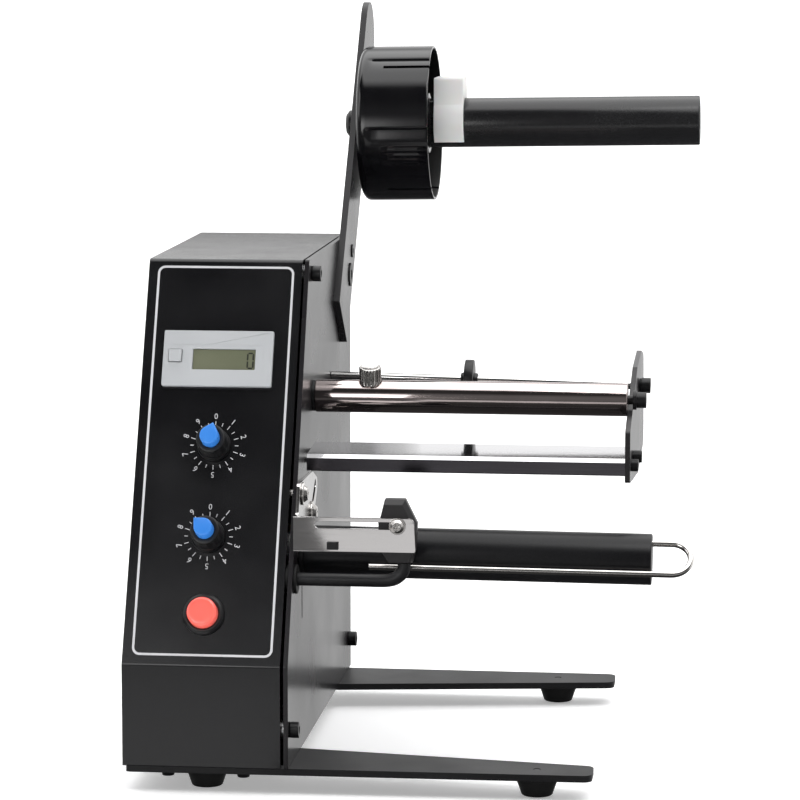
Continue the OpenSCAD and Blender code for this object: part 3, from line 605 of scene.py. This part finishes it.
# lock tab under the key: a small raised frame
for q in (
    [(13.3, 131.4), (16.2, 131.4), (16.2, 131.6), (13.3, 131.6)],
    [(13.3, 133.6), (16.2, 133.6), (16.2, 133.8), (13.3, 133.8)],
    [(13.3, 131.4), (13.5, 131.4), (13.5, 133.8), (13.3, 133.8)],
    [(16.0, 131.4), (16.2, 131.4), (16.2, 133.8), (16.0, 133.8)],
):
    prism(bm, q, E0, E1)
make("counter_face_lines", bm, on_panel(), WHITE)

# seven-segment 0
bm = bmesh.new()
sx0, sx1, sy0, sy1, t = 46.5, 49.7, 132.9, 140.5, 0.72
sm, g = (sy0 + sy1) / 2, 0.12


def seg_v(x, y0, y1):
    return [(x, y0 + g), (x + t / 2, y0 + g + t / 2), (x + t / 2, y1 - g - t / 2), (x, y1 - g), (x - t / 2, y1 - g - t / 2), (x - t / 2, y0 + g + t / 2)]


def seg_h(y, x0, x1):
    return [(x0 + g, y), (x0 + g + t / 2, y - t / 2), (x1 - g - t / 2, y - t / 2), (x1 - g, y), (x1 - g - t / 2, y + t / 2), (x0 + g + t / 2, y + t / 2)]


for x in (sx0 + t / 2, sx1 - t / 2):
    prism(bm, seg_v(x, sy0 + t / 2, sm), 1.5, 1.53)
    prism(bm, seg_v(x, sm, sy1 - t / 2), 1.5, 1.53)
for y in (sy0 + t / 2, sy1 - t / 2):
    prism(bm, seg_h(y, sx0 + t / 2, sx1 - t / 2), 1.5, 1.53)
bmesh.ops.recalc_face_normals(bm, faces=bm.faces)
make("counter_digit", bm, on_panel(), SEGM)

# ---------------------------------------------------------------- knobs
for which, at, ang in (("upper", (34.3, 98.3), 16), ("lower", (34.3, 57.3), -47)):
    body = which + "_knob"

    def ribs(a, z, r):
        return r * (1 - 0.014 * (0.5 - 0.5 * math.cos(36 * a)) ** 3) if 3.9 < z < 11.0 and r > 6.15 else r

    prof = [(0.5, 6.1), (0.5, 7.1), (0.62, 7.32), (0.8, 7.4), (2.7, 7.3), (3.1, 7.22), (3.4, 7.0), (3.55, 6.85), (3.8, 6.72)]
    prof += [(4.1, 6.70), (7.5, 6.56), (10.6, 6.44), (11.1, 6.38), (11.36, 6.22), (11.5, 5.95), (11.5, 4.4), (11.42, 4.2), (11.3, 4.1)]
    prof += [(11.3, 0.02), (10.7, 0.02), (10.7, 3.0), (4.2, 3.0), (4.2, 6.1)]
    bm = closed_lathe(prof, 144, ribs)
    bmesh.ops.remove_doubles(bm, verts=[v for v in bm.verts if v.co.xy.length < 0.03], dist=0.05)
    make(body + "_shape", bm, on_panel(*at), SATIN, body, [body], 38)

    # pointer cap: teardrop with a rounded shoulder and a slightly dished top
    tt = math.acos(4.1 / 6)
    steps = 56
    out = []
    for i in range(steps + 1):
        b = math.pi / 2 + tt + (2 * math.pi - 2 * tt) * i / steps
        out.append(Vector((4.1 * math.cos(b), 4.1 * math.sin(b))))
    tip = Vector((0, 6.0))
    e0, e1 = out[-1], out[0]
    left = [e0.lerp(tip, f) for f in (0.25, 0.5, 0.75, 0.9)]
    right = [tip.lerp(e1, f) for f in (0.1, 0.25, 0.5, 0.75)]
    nose = [tip * 0.985]
    out = out + left + nose + right
    ctr = Vector((0, 0.6))
    bm = bmesh.new()
    rows = []
    for z, k in [(11.35, 1.0), (16.2, 0.985), (16.65, 0.965), (16.95, 0.925), (17.1, 0.86), (17.08, 0.78), (17.0, 0.6), (16.94, 0.35), (16.92, 0.12)]:
        rows.append([bm.verts.new((*(ctr + (p - ctr) * k), z)) for p in out])
    for a, b in zip(rows, rows[1:]):
        for i in range(len(out)):
            j = (i + 1) % len(out)
            bm.faces.new((a[i], a[j], b[j], b[i]))
    bm.faces.new(rows[0][::-1])
    bm.faces.new(rows[-1])
    bmesh.ops.transform(bm, matrix=Matrix.Rotation(math.radians(-ang), 4, "Z"), verts=bm.verts)
    bmesh.ops.recalc_face_normals(bm, faces=bm.faces)
    make(body + "_cap_shape", bm, on_panel(*at), BLUE, body, [body + "_cap"], 40)

# ---------------------------------------------------------------- power switch
prof = [(-22, 0.02), (-22, 7.6), (-21.6, 8.0), (0.0, 8.0), (0.0, 8.9), (0.12, 9.06), (0.3, 9.1), (1.1, 9.1), (1.35, 9.02), (1.55, 8.88), (2.3, 8.16), (2.46, 7.9), (2.5, 7.6)]
prof += [(2.5, 7.1), (2.42, 6.82), (2.2, 6.66), (-9, 6.65), (-9, 0.02)]
bm = closed_lathe(prof, 96)
bmesh.ops.remove_doubles(bm, verts=[v for v in bm.verts if v.co.xy.length < 0.03], dist=0.05)
make("switch_housing_shape", bm, on_panel(34.3, 22.5), SATIN, "machine", ["switch_housing"], 40)
bm = bmesh.new()
lathe(bm, [(-5, 0), (-5, 6.2), (-4.7, 6.5), (5.6, 6.5), (6.1, 6.42), (6.5, 6.2), (6.8, 5.85), (6.95, 5.4), (7.0, 5.0), (6.98, 3.5), (6.95, 1.5), (6.94, 0)], 96)
bmesh.ops.recalc_face_normals(bm, faces=bm.faces)
make("power_button_shape", bm, on_panel(34.3, 22.5), RED, "power_button", ["power_button"], 40)


# ---------------------------------------------------------------- roll arm, hub, spindle
refined("roll_arm", TOPC, 0.35)
refined("spindle_bolt", SCREW, 0.5, segments=3)
keep("spindle_bush", SATIN)

bm = closed_lathe(tube_profile(79.1, 238.8, 11.9, 10.4, 0.7), 128)
make("spindle_tube_shape", bm, SPIN, TUBE, "spindle", ["spindle_tube"], 40)


def lobes(a, z, r):
    """Six lobes: each ends in a small step that fades out towards the closed end, with fine ribs on one of them."""
    if r < 36.6 or z < 78.9 or z > 110.45:
        return r
    th = (180 - math.degrees(a)) % 360
    d = (-1.6 - th) % 60
    up = 60 - d
    fade = min(1.0, max(0.0, (z - 80.0) / 3.5))
    fade = fade * fade * (3 - 2 * fade)
    cut = 0.0
    if d < 15:
        cut = 0.95 * (1 - d / 15) ** 1.6
    elif up < 1.4:
        cut = 0.95 * (1 - up / 1.4) ** 2
    q = r - cut * fade
    low = (th - 360) if th > 180 else th
    if -31.5 < low < -11.5 and 91 < z < 109.3:
        k = (low + 31.5) / 20 * 5
        if abs(k - round(k)) < 0.16 and 0 < round(k) < 5:
            q -= 0.18
    return q


prof = [(76.0, 4.3), (76.0, 33.6), (76.12, 34.6), (76.5, 35.5), (77.2, 36.4), (78.0, 36.95), (79.0, 37.25), (80.0, 37.3), (80.8, 37.3), (81.7, 37.3), (82.7, 37.3), (83.6, 37.3)]
prof += [(87, 37.3), (90.9, 37.3), (91.2, 37.3), (95, 37.3), (100, 37.3), (105, 37.3), (109.2, 37.3), (109.5, 37.3), (110.2, 37.3), (110.42, 37.2), (110.5, 37.0)]
prof += [(110.5, 36.35), (110.42, 36.15), (110.2, 36.05), (106, 35.5), (101, 34.9), (97, 34.7), (80.6, 34.7), (79.8, 34.4), (79.5, 33.6)]
prof += [(79.5, 15.6), (79.7, 14.9), (80.3, 14.6), (107.4, 14.6), (107.85, 14.45), (108, 14.0), (108, 12.3), (107.85, 12.0), (107.5, 11.93), (79.08, 11.93), (79.08, 4.3)]
bm = closed_lathe(prof, 360, lobes)
hub = make("core_hub_shape", bm, SPIN, GLOSS, "spindle", ["core_hub"], 30)
# slits in the rim, open to the right
cut = bmesh.new()
for th, w in ((49.4, 1.0), (-55, 0.8), (109.4, 1.0), (169.4, 1.0), (-115, 1.0)):
    a = math.radians(180 - th)
    c, s = math.cos(a), math.sin(a)
    q = [(33, -w), (39, -w), (39, w), (33, w)]
    prism(cut, [(x * c - y * s, x * s + y * c) for x, y in q], 88.5 if th > 0 else 89.5, 112)
boolean(hub, cut, SPIN)
shade(hub, 30)
# The inner faces of the hub's cup get a darker, less reflective black: painted shade inside the cup.
hub.data.materials.append(HUBIN)
for p in hub.data.polygons:
    c = SPIN.inverted() @ p.center
    m = SPIN.to_3x3().inverted() @ p.normal
    if 15 < math.hypot(c.x, c.y) < 36.3 and c.z > 79.3 and c.z < 110.3 and m.x * c.x + m.y * c.y < 0.1:
        p.material_index = 1

# white clip: the same outline as its solid, swept between rounded faces
right = [(15.2 * math.cos(math.radians(-35.4 + 3.1 * i)), 15.2 * math.sin(math.radians(-35.4 + 3.1 * i))) for i in range(25)]
top = [(10.5, 18.0), (10.42, 18.6), (10.0, 20.6), (9.75, 21.4), (9.2, 21.95), (8.4, 22.2), (4, 22.2), (0, 22.2)]
half = right + top
outer = half + [(-x, y) for x, y in half[-2::-1]]
a0 = math.degrees(math.atan2(15.2 * math.sin(math.radians(-35.4)), 15.2 * math.cos(math.radians(-35.4))))
inner = [(12.0 * math.cos(math.radians(a)), 12.0 * math.sin(math.radians(a))) for a in [-47.1 + (180 + 94.2) * i / (len(outer) - 1) for i in range(len(outer))]]
bm = bmesh.new()
ring_o, ring_i = [], []
for z, k in ((111.2, 0.45), (111.35, 0.16), (111.8, 0.0), (124.8, 0.0), (125.22, 0.16), (125.4, 0.45)):
    ro, ri = [], []
    for (x, y), (u, v) in zip(outer, inner):
        d = Vector((u - x, v - y)).normalized() * k
        ro.append(bm.verts.new((x + d.x, y + d.y, z)))
        ri.append(bm.verts.new((u - d.x * 0.4, v - d.y * 0.4, z)))
    ring_o.append(ro)
    ring_i.append(ri)
n = len(outer)
for k in range(5):
    for i in range(n - 1):
        bm.faces.new((ring_o[k][i], ring_o[k][i + 1], ring_o[k + 1][i + 1], ring_o[k + 1][i]))
        bm.faces.new((ring_i[k][i + 1], ring_i[k][i], ring_i[k + 1][i], ring_i[k + 1][i + 1]))
    for i in (0, n - 1):
        bm.faces.new((ring_o[k][i], ring_o[k + 1][i], ring_i[k + 1][i], ring_i[k][i]))
for k in (0, 5):
    for i in range(n - 1):
        bm.faces.new((ring_o[k][i], ring_i[k][i], ring_i[k][i + 1], ring_o[k][i + 1]))
bmesh.ops.recalc_face_normals(bm, faces=bm.faces)
make("roll_clip_shape", bm, SPIN, NYLON, "roll_clip", ["roll_clip"], 34)

# ---------------------------------------------------------------- guide bar, thumbscrew, rear rod, ring
LEAN = math.radians(16)
LEANM = frame_at((98, 84, 161.8), (1, 0, 0), (0, -math.sin(LEAN), math.cos(LEAN)))
bm = bmesh.new()
lathe(bm, bar_profile(73.3, 212.3, 7.3, 0.6), 128)
bmesh.ops.recalc_face_normals(bm, faces=bm.faces)
bar = make("guide_bar_shape", bm, BAR, CHROME, "machine", ["guide_bar"], 40)
cut = bmesh.new()
lathe(cut, [(6.0, 0), (6.0, 5.25), (12, 5.25), (12, 0)], 64)
boolean(bar, cut, LEANM)
cut = bmesh.new()
lathe(cut, [(-4.0, 0), (-4.0, 2.03), (8, 2.03), (8, 0)], 48)
boolean(bar, cut, LEANM)
shade(bar, 40)


def knurl(a, z, r):
    if r < 4.3 or z < 6.7 or z > 14.0:
        return r
    return r - 0.42 * (0.5 - 0.5 * math.cos(20 * a)) ** 1.3 * min(1, (z - 6.7) / 0.6, (14.0 - z) / 0.5 + 0.25)


bm = bmesh.new()
prof = [(-3.6, 0), (-3.6, 1.7), (-3.3, 1.97), (6.05, 1.97), (6.05, 4.0), (6.2, 4.45), (6.6, 4.82), (6.8, 4.9), (7.3, 4.9), (9, 4.9), (12, 4.9), (13.2, 4.9), (13.7, 4.88), (14.0, 4.75), (14.22, 4.5), (14.3, 4.2)]
prof += [(14.27, 3.8), (14.1, 3.3), (13.85, 2.5), (13.7, 1.2), (13.68, 0)]
lathe(bm, prof, 208, knurl)
bmesh.ops.recalc_face_normals(bm, faces=bm.faces)
make("thumbscrew_shape", bm, LEANM, NICKEL, "thumbscrew", ["thumbscrew"], 34)

bm = bmesh.new()
lathe(bm, bar_profile(72.1, 212.25, 2.0, 0.3), 64)
bmesh.ops.recalc_face_normals(bm, faces=bm.faces)
make("rear_rod_shape", bm, ROD, RODM, "machine", ["rear_rod"], 40)

prof = [(132.6, 2.08), (132.6, 2.9), (132.75, 3.1), (133.0, 3.2), (133.9, 3.3), (134.25, 3.5), (134.4, 3.9), (134.4, 8.7), (134.5, 9.15), (134.75, 9.35), (135.1, 9.4)]
prof += [(137.9, 9.4), (138.25, 9.35), (138.5, 9.15), (138.6, 8.7), (138.6, 3.9), (138.75, 3.5), (139.1, 3.3), (140.0, 3.2), (140.25, 3.1), (140.4, 2.9), (140.4, 2.08)]
bm = closed_lathe(prof, 96)
make("guide_ring_shape", bm, ROD, SATIN, "guide_ring", ["guide_ring"], 40)

refined("bar_screws", SCREW, 0.4, segments=3)
peel = refined("peel_plate", PEEL, 0.3)
peel.data.materials.append(PEEL2)
for p in peel.data.polygons:
    if p.normal.y < -0.9 or p.normal.z < -0.9:
        p.material_index = 1
refined("end_plate", PLATE, 0.35)


# ---------------------------------------------------------------- sensor
bracket = refined("sensor_bracket", MIRROR, 0.22)
# The bracket's faces that face +x get a darker copy of the sheet metal: painted shade on that side.
bracket.data.materials.append(SHEET_PAINTED_SHADE)
for p in bracket.data.polygons:
    if p.normal.x > 0.9 and p.center.x < 0.08:
        p.material_index = 1
refined("bracket_screws", NICKEL, 0.2)
refined("bracket_stop", SATIN, 0.2)
refined("sensor_screw", NICKEL, 0.14, "sensor")
refined("lead_grommet", RUBBER, 0.4, segments=3)
refined("lead_plug", NYLON, 0.3, "sensor")

full = [(111.3, 125.7), (109.4, 118.1), (108.4, 115.4), (109, 104), (113.2, 98), (123.2, 98), (124.8, 104), (125.3, 115.3), (120.1, 125.7)]
front = [(111.0, 123.5), (109.6, 118.1), (108.7, 115.3), (109.3, 104.2), (113.3, 98.3), (122.1, 98.3), (123.3, 104.1), (123.5, 114.7), (119.0, 123.5)]
bm = bmesh.new()
rows = []
for y, pts in ((19.6, front), (22.0, full), (26.0, full)):
    rows.append([bm.verts.new((x, y, z)) for x, z in pts])
for a, b in zip(rows, rows[1:]):
    for i in range(len(full)):
        j = (i + 1) % len(full)
        bm.faces.new((a[i], a[j], b[j], b[i]))
bm.faces.new(rows[0])
bm.faces.new(rows[-1][::-1])
bmesh.ops.recalc_face_normals(bm, faces=bm.faces)
make("sensor_head_shape", bm, plain(), HEAD, "sensor", ["sensor_head"], 30, 0.28)

ROUTE = [
    (119.6, 22.9, 97.9), (119.5, 22.9, 96.1), (119.0, 22.9, 94.3), (117.6, 22.9, 92.3), (115.4, 22.9, 90.8), (112.6, 22.9, 90.1),
    (109.5, 22.9, 89.9), (102, 22.9, 89.9), (94, 22.9, 89.9), (86, 22.9, 89.9), (78, 22.9, 89.9), (70, 22.9, 89.9), (62, 22.9, 89.9), (57, 22.9, 89.9),
]


def smooth(points, steps=5):
    p = [Vector(q) for q in points]
    p = [2 * p[0] - p[1]] + p + [2 * p[-1] - p[-2]]
    out = []
    for i in range(1, len(p) - 2):
        for k in range(steps):
            t = k / steps
            a, b, c, d = p[i - 1 : i + 3]
            out.append(0.5 * ((2 * b) + (c - a) * t + (2 * a - 5 * b + 4 * c - d) * t * t + (3 * b - a - 3 * c + d) * t**3))
    out.append(p[-2])
    return out


bm = sweep(smooth(ROUTE), 2.85, 28, close_ends=False)
make("sensor_lead_shape", bm, plain(), LEADM, "sensor", ["sensor_lead"], 40)

# ---------------------------------------------------------------- rewinder and its clip
bm = closed_lathe(tube_profile(74.4, 225.3, 11.1, 9.6, 0.6), 128)
make("rewinder_tube_shape", bm, REW, TUBE2, "rewinder", ["rewinder_tube"], 40)
refined("rewinder_plugs", SATIN, 0.3, "rewinder")
bm = closed_lathe([(72.35, 4.6), (72.35, 10.0), (72.6, 10.4), (73.0, 10.5), (74.3, 10.5), (74.6, 10.4), (74.6, 4.6)], 96)
make("rewinder_spacer", bm, REW, SATIN, "rewinder")
A = math.atan2(11.2, 12.2)
R = 8.28
path = [(116.6, R)] + [(118 + (233.82 - 118) * i / 12, R) for i in range(13)]
path += [(233.82 + R * math.sin(math.radians(a)), R * math.cos(math.radians(a))) for a in range(6, 180, 6)]
path += [(233.82 - (233.82 - 105) * i / 12, -R) for i in range(13)] + [(103.6, -R)]
bm = sweep([(-6.1 + q * math.cos(A), 1.4 + q * math.sin(A), x) for x, q in path], 1.4, 32)
make("paper_clip_wire_shape", bm, REW, WIRE, "paper_clip", ["paper_clip_wire"], 40)

# ---------------------------------------------------------------- inside the cabinet
for node, material in {
    "spacer_posts": ZINC, "upper_pot": CASE, "lower_pot": CASE, "pot_nuts": ZINC, "upper_pot_shaft": ZINC, "lower_pot_shaft": ZINC,
    "power_supply": CASE, "control_board": BOARD, "drive_bracket": ZINC, "gear_motor": CASE, "motor_shaft": ZINC, "motor_pinion": BRASS,
    "driven_gear": GEAR, "rewinder_shaft": ZINC, "shaft_bearings": ZINC,
}.items():
    keep(node, material)

# black sheet behind the rear vents: painted shade that keeps the vents dark
outline = [(12, 144), (58, 144), (59.5, 144.6), (60, 146), (60, 204), (59.5, 205.4), (58, 206), (12, 206), (10.5, 205.4), (10, 204), (10, 146), (10.5, 144.6)]
bm = bmesh.new()
lo = [bm.verts.new((x, 211.30, z)) for x, z in outline]
hi = [bm.verts.new((x, 212.50, z)) for x, z in outline]
bm.faces.new(lo)
bm.faces.new(hi[::-1])
for i in range(len(outline)):
    j = (i + 1) % len(outline)
    bm.faces.new((lo[i], hi[i], hi[j], lo[j]))
bmesh.ops.recalc_face_normals(bm, faces=bm.faces)
make("vent_shade_sheet", bm, plain(), VENT_PAINTED_SHADE, "machine")

# ---------------------------------------------------------------- studio
W = bpy.data.worlds.new("studio")
scene.world = W
W.use_nodes = True
wn = W.node_tree
bg = wn.nodes["Background"]


def wmath(op, a, b=None, c=None):
    n = wn.nodes.new("ShaderNodeMath")
    n.operation = op
    for k, v in enumerate((a, b, c)):
        if v is None:
            continue
        if isinstance(v, (int, float)):
            n.inputs[k].default_value = v
        else:
            wn.links.new(v, n.inputs[k])
    return n.outputs[0]


def wstep(value, lo, hi):
    n = wn.nodes.new("ShaderNodeMapRange")
    n.interpolation_type = "SMOOTHSTEP"
    n.inputs["From Min"].default_value, n.inputs["From Max"].default_value = lo, hi
    wn.links.new(value, n.inputs["Value"])
    return n.outputs["Result"]


def wramp(value, stops):
    r = wn.nodes.new("ShaderNodeValToRGB")
    e = r.color_ramp.elements
    for z, v in stops[1:-1]:
        e.new((z + 1) / 2).color = (v / 3, v / 3, v / 3, 1)
    for k, (z, v) in ((e[0], stops[0]), (e[-1], stops[-1])):
        k.color = (v / 3, v / 3, v / 3, 1)
    wn.links.new(value, r.inputs["Fac"])
    return r.outputs["Color"]


# the room: a large overhead softbox, a dark room in front with a low softbox, a pale wall behind
wc = wn.nodes.new("ShaderNodeTexCoord")
ws = wn.nodes.new("ShaderNodeSeparateXYZ")
wn.links.new(wc.outputs["Generated"], ws.inputs[0])
wx, wy, wz = ws.outputs
up = wmath("MULTIPLY_ADD", wz, 0.5, 0.5)
front = wramp(up, [(-1, 0.03), (-0.62, 0.04), (-0.4, 0.06), (-0.25, 0.11), (-0.05, 0.15), (0.3, 0.16), (0.5, 0.09), (0.58, 0.035), (0.84, 0.035), (0.93, 2.6), (1, 2.6)])
back = wramp(up, [(-1, 0.03), (-0.5, 0.06), (-0.25, 0.75), (-0.14, 1.00), (-0.02, 1.25), (0.06, 1.3), (0.3, 1.05), (0.55, 0.8), (0.68, 2.2), (0.8, 2.6), (1, 2.6)])
mixer = wn.nodes.new("ShaderNodeMix")
mixer.data_type = "RGBA"
wn.links.new(wstep(wy, -0.05, 0.05), mixer.inputs["Factor"])
wn.links.new(front, mixer.inputs["A"])
wn.links.new(back, mixer.inputs["B"])
box = wmath("MULTIPLY", wstep(wz, -0.08, 0.0), wmath("SUBTRACT", 1.0, wstep(wz, 0.13, 0.19)))
box = wmath("MULTIPLY", box, wmath("SUBTRACT", 1.0, wstep(wx, -0.125, -0.085)))
box = wmath("MULTIPLY", box, wstep(wx, -0.40, -0.30))
box = wmath("MULTIPLY", box, wmath("SUBTRACT", 1.0, wstep(wy, -0.5, -0.3)))
soft = wn.nodes.new("ShaderNodeMix")
soft.data_type = "RGBA"
soft.inputs["B"].default_value = (0.075, 0.074, 0.073, 1)
wn.links.new(box, soft.inputs["Factor"])
wn.links.new(mixer.outputs["Result"], soft.inputs["A"])
wn.links.new(soft.outputs["Result"], bg.inputs["Color"])
bg.inputs["Strength"].default_value = 3.0


def plane(name, corners, material, stage=True):
    bm = bmesh.new()
    bm.faces.new([bm.verts.new(c) for c in corners])
    me = bpy.data.meshes.new(name)
    bm.to_mesh(me)
    bm.free()
    o = bpy.data.objects.new(name, me)
    scene.collection.objects.link(o)
    me.materials.append(material)
    return o


def paper(name, colour, strength=0.0, rough=0.9):
    m, nt, b = nodes_of(name)
    v = coords(nt)
    nt.links.new(ramp(nt, noise(nt, v, 6, 2), [(0.3, [c * 0.99 for c in colour]), (0.7, colour)]), b.inputs["Base Color"])
    b.inputs["Roughness"].default_value = rough
    b.inputs["Specular IOR Level"].default_value = 0.1
    if strength:
        b.inputs["Emission Color"].default_value = (1, 1, 1, 1)
        b.inputs["Emission Strength"].default_value = strength
    return m


PAPER = paper("white paper", (0.90, 0.90, 0.905), 0.35)
SWEEP = paper("white backdrop", (0.90, 0.90, 0.905), 0.75)
CARD = paper("bounce card", (0.02, 0.02, 0.02), 0.64)
floor = plane("floor", [(-6, -5, -0.0005), (6, -5, -0.0005), (6, 2.4, -0.0005), (-6, 2.4, -0.0005)], PAPER)
# backdrop: floor curves up into a wall
bm = bmesh.new()
prev = None
pts = [(2.4, -0.0005)] + [(2.4 + 1.2 * math.sin(math.radians(a)), 1.2 - 1.2 * math.cos(math.radians(a))) for a in range(10, 91, 10)] + [(3.6, 5.0)]
for y, z in pts:
    row = (bm.verts.new((-6, y, z)), bm.verts.new((6, y, z)))
    if prev:
        bm.faces.new((prev[0], prev[1], row[1], row[0]))
    prev = row
me = bpy.data.meshes.new("backdrop")
bm.to_mesh(me)
bm.free()
o = bpy.data.objects.new("backdrop", me)
scene.collection.objects.link(o)
me.materials.append(SWEEP)
for p in me.polygons:
    p.use_smooth = True
floor.visible_glossy = o.visible_glossy = False
# pale card on the table in front of the machine, out of view
card = plane("front_card", [(-0.141, -0.86, 0.0005), (0.9, -0.86, 0.0005), (0.9, -0.45, 0.0005), (-0.069, -0.45, 0.0005)], CARD)
card.visible_camera = card.visible_diffuse = card.visible_shadow = False


def graded(name, axis, lo, hi, stops, strength=2.4):
    """A card whose brightness changes along one of its directions."""
    m, nt, b = nodes_of(name)
    sep = nt.nodes.new("ShaderNodeSeparateXYZ")
    nt.links.new(coords(nt), sep.inputs[0])
    nt.links.new(ramp(nt, spread(nt, sep.outputs[axis], 0, 1, lo, hi), stops), b.inputs["Emission Color"])
    b.inputs["Emission Strength"].default_value = strength
    b.inputs["Base Color"].default_value = (0.02, 0.02, 0.02, 1)
    b.inputs["Roughness"].default_value = 0.9
    return m


def grey(v):
    return (v / 2.4, v / 2.4, v / 2.4)


# cards that only show in reflections: a light one standing low in front of the control panel, a grey one on the
# table before it, and a dark one behind the left end of the peel plate
for name, corners, material in (
    ("panel_card", [(-0.46, -0.646, 0.16), (-0.120, -0.646, 0.16), (-0.120, -0.646, 0.52), (-0.46, -0.646, 0.52)],
     graded("panel card", 2, 0.16, 0.52, [(0.44, grey(2.3)), (0.514, grey(1.9)), (0.575, grey(1.1)), (0.653, grey(0.75)), (0.72, grey(0.4)), (0.8, grey(0.13)), (0.92, grey(0.02))], 4.0)),
    ("table_card", [(-0.32, -0.446, 0.0005), (-0.060, -0.446, 0.0005), (-0.060, -0.161, 0.0005), (-0.32, -0.161, 0.0005)],
     graded("table card", 1, -0.446, -0.161, [(0.0, grey(0.8)), (1.0, grey(0.85))])),
    ("back_card", [(-0.32, 0.304, 0.224), (-0.0412, 0.304, 0.224), (-0.0412, 0.304, 0.256), (-0.32, 0.304, 0.256)],
     graded("dark card", 0, -0.10175, -0.0412, [(0.0, grey(0.24)), (0.55, grey(0.26)), (0.64, grey(0.46)), (0.84, grey(0.62)), (1.0, grey(0.95))])),
):
    k = plane(name, corners, material)
    k.visible_camera = k.visible_diffuse = k.visible_shadow = False
peel.visible_glossy = False


def area(name, at, look, size, power, colour=(1, 1, 1), spread=math.pi):
    d = bpy.data.lights.new(name, "AREA")
    d.shape, d.size, d.size_y, d.energy, d.color = "RECTANGLE", size[0], size[1], power, colour
    d.spread = spread
    o = bpy.data.objects.new(name, d)
    scene.collection.objects.link(o)
    o.location = at
    o.rotation_euler = (Vector(look) - Vector(at)).to_track_quat("-Z", "Y").to_euler()
    return o


area("key", (0.9, -0.9, 2.1), (0.0, 0.0, 0.12), (1.6, 1.2), 17)
area("left", (-2.0, -0.6, 1.1), (0, 0, 0.15), (1.0, 1.2), 8)

bpy.context.view_layer.update()
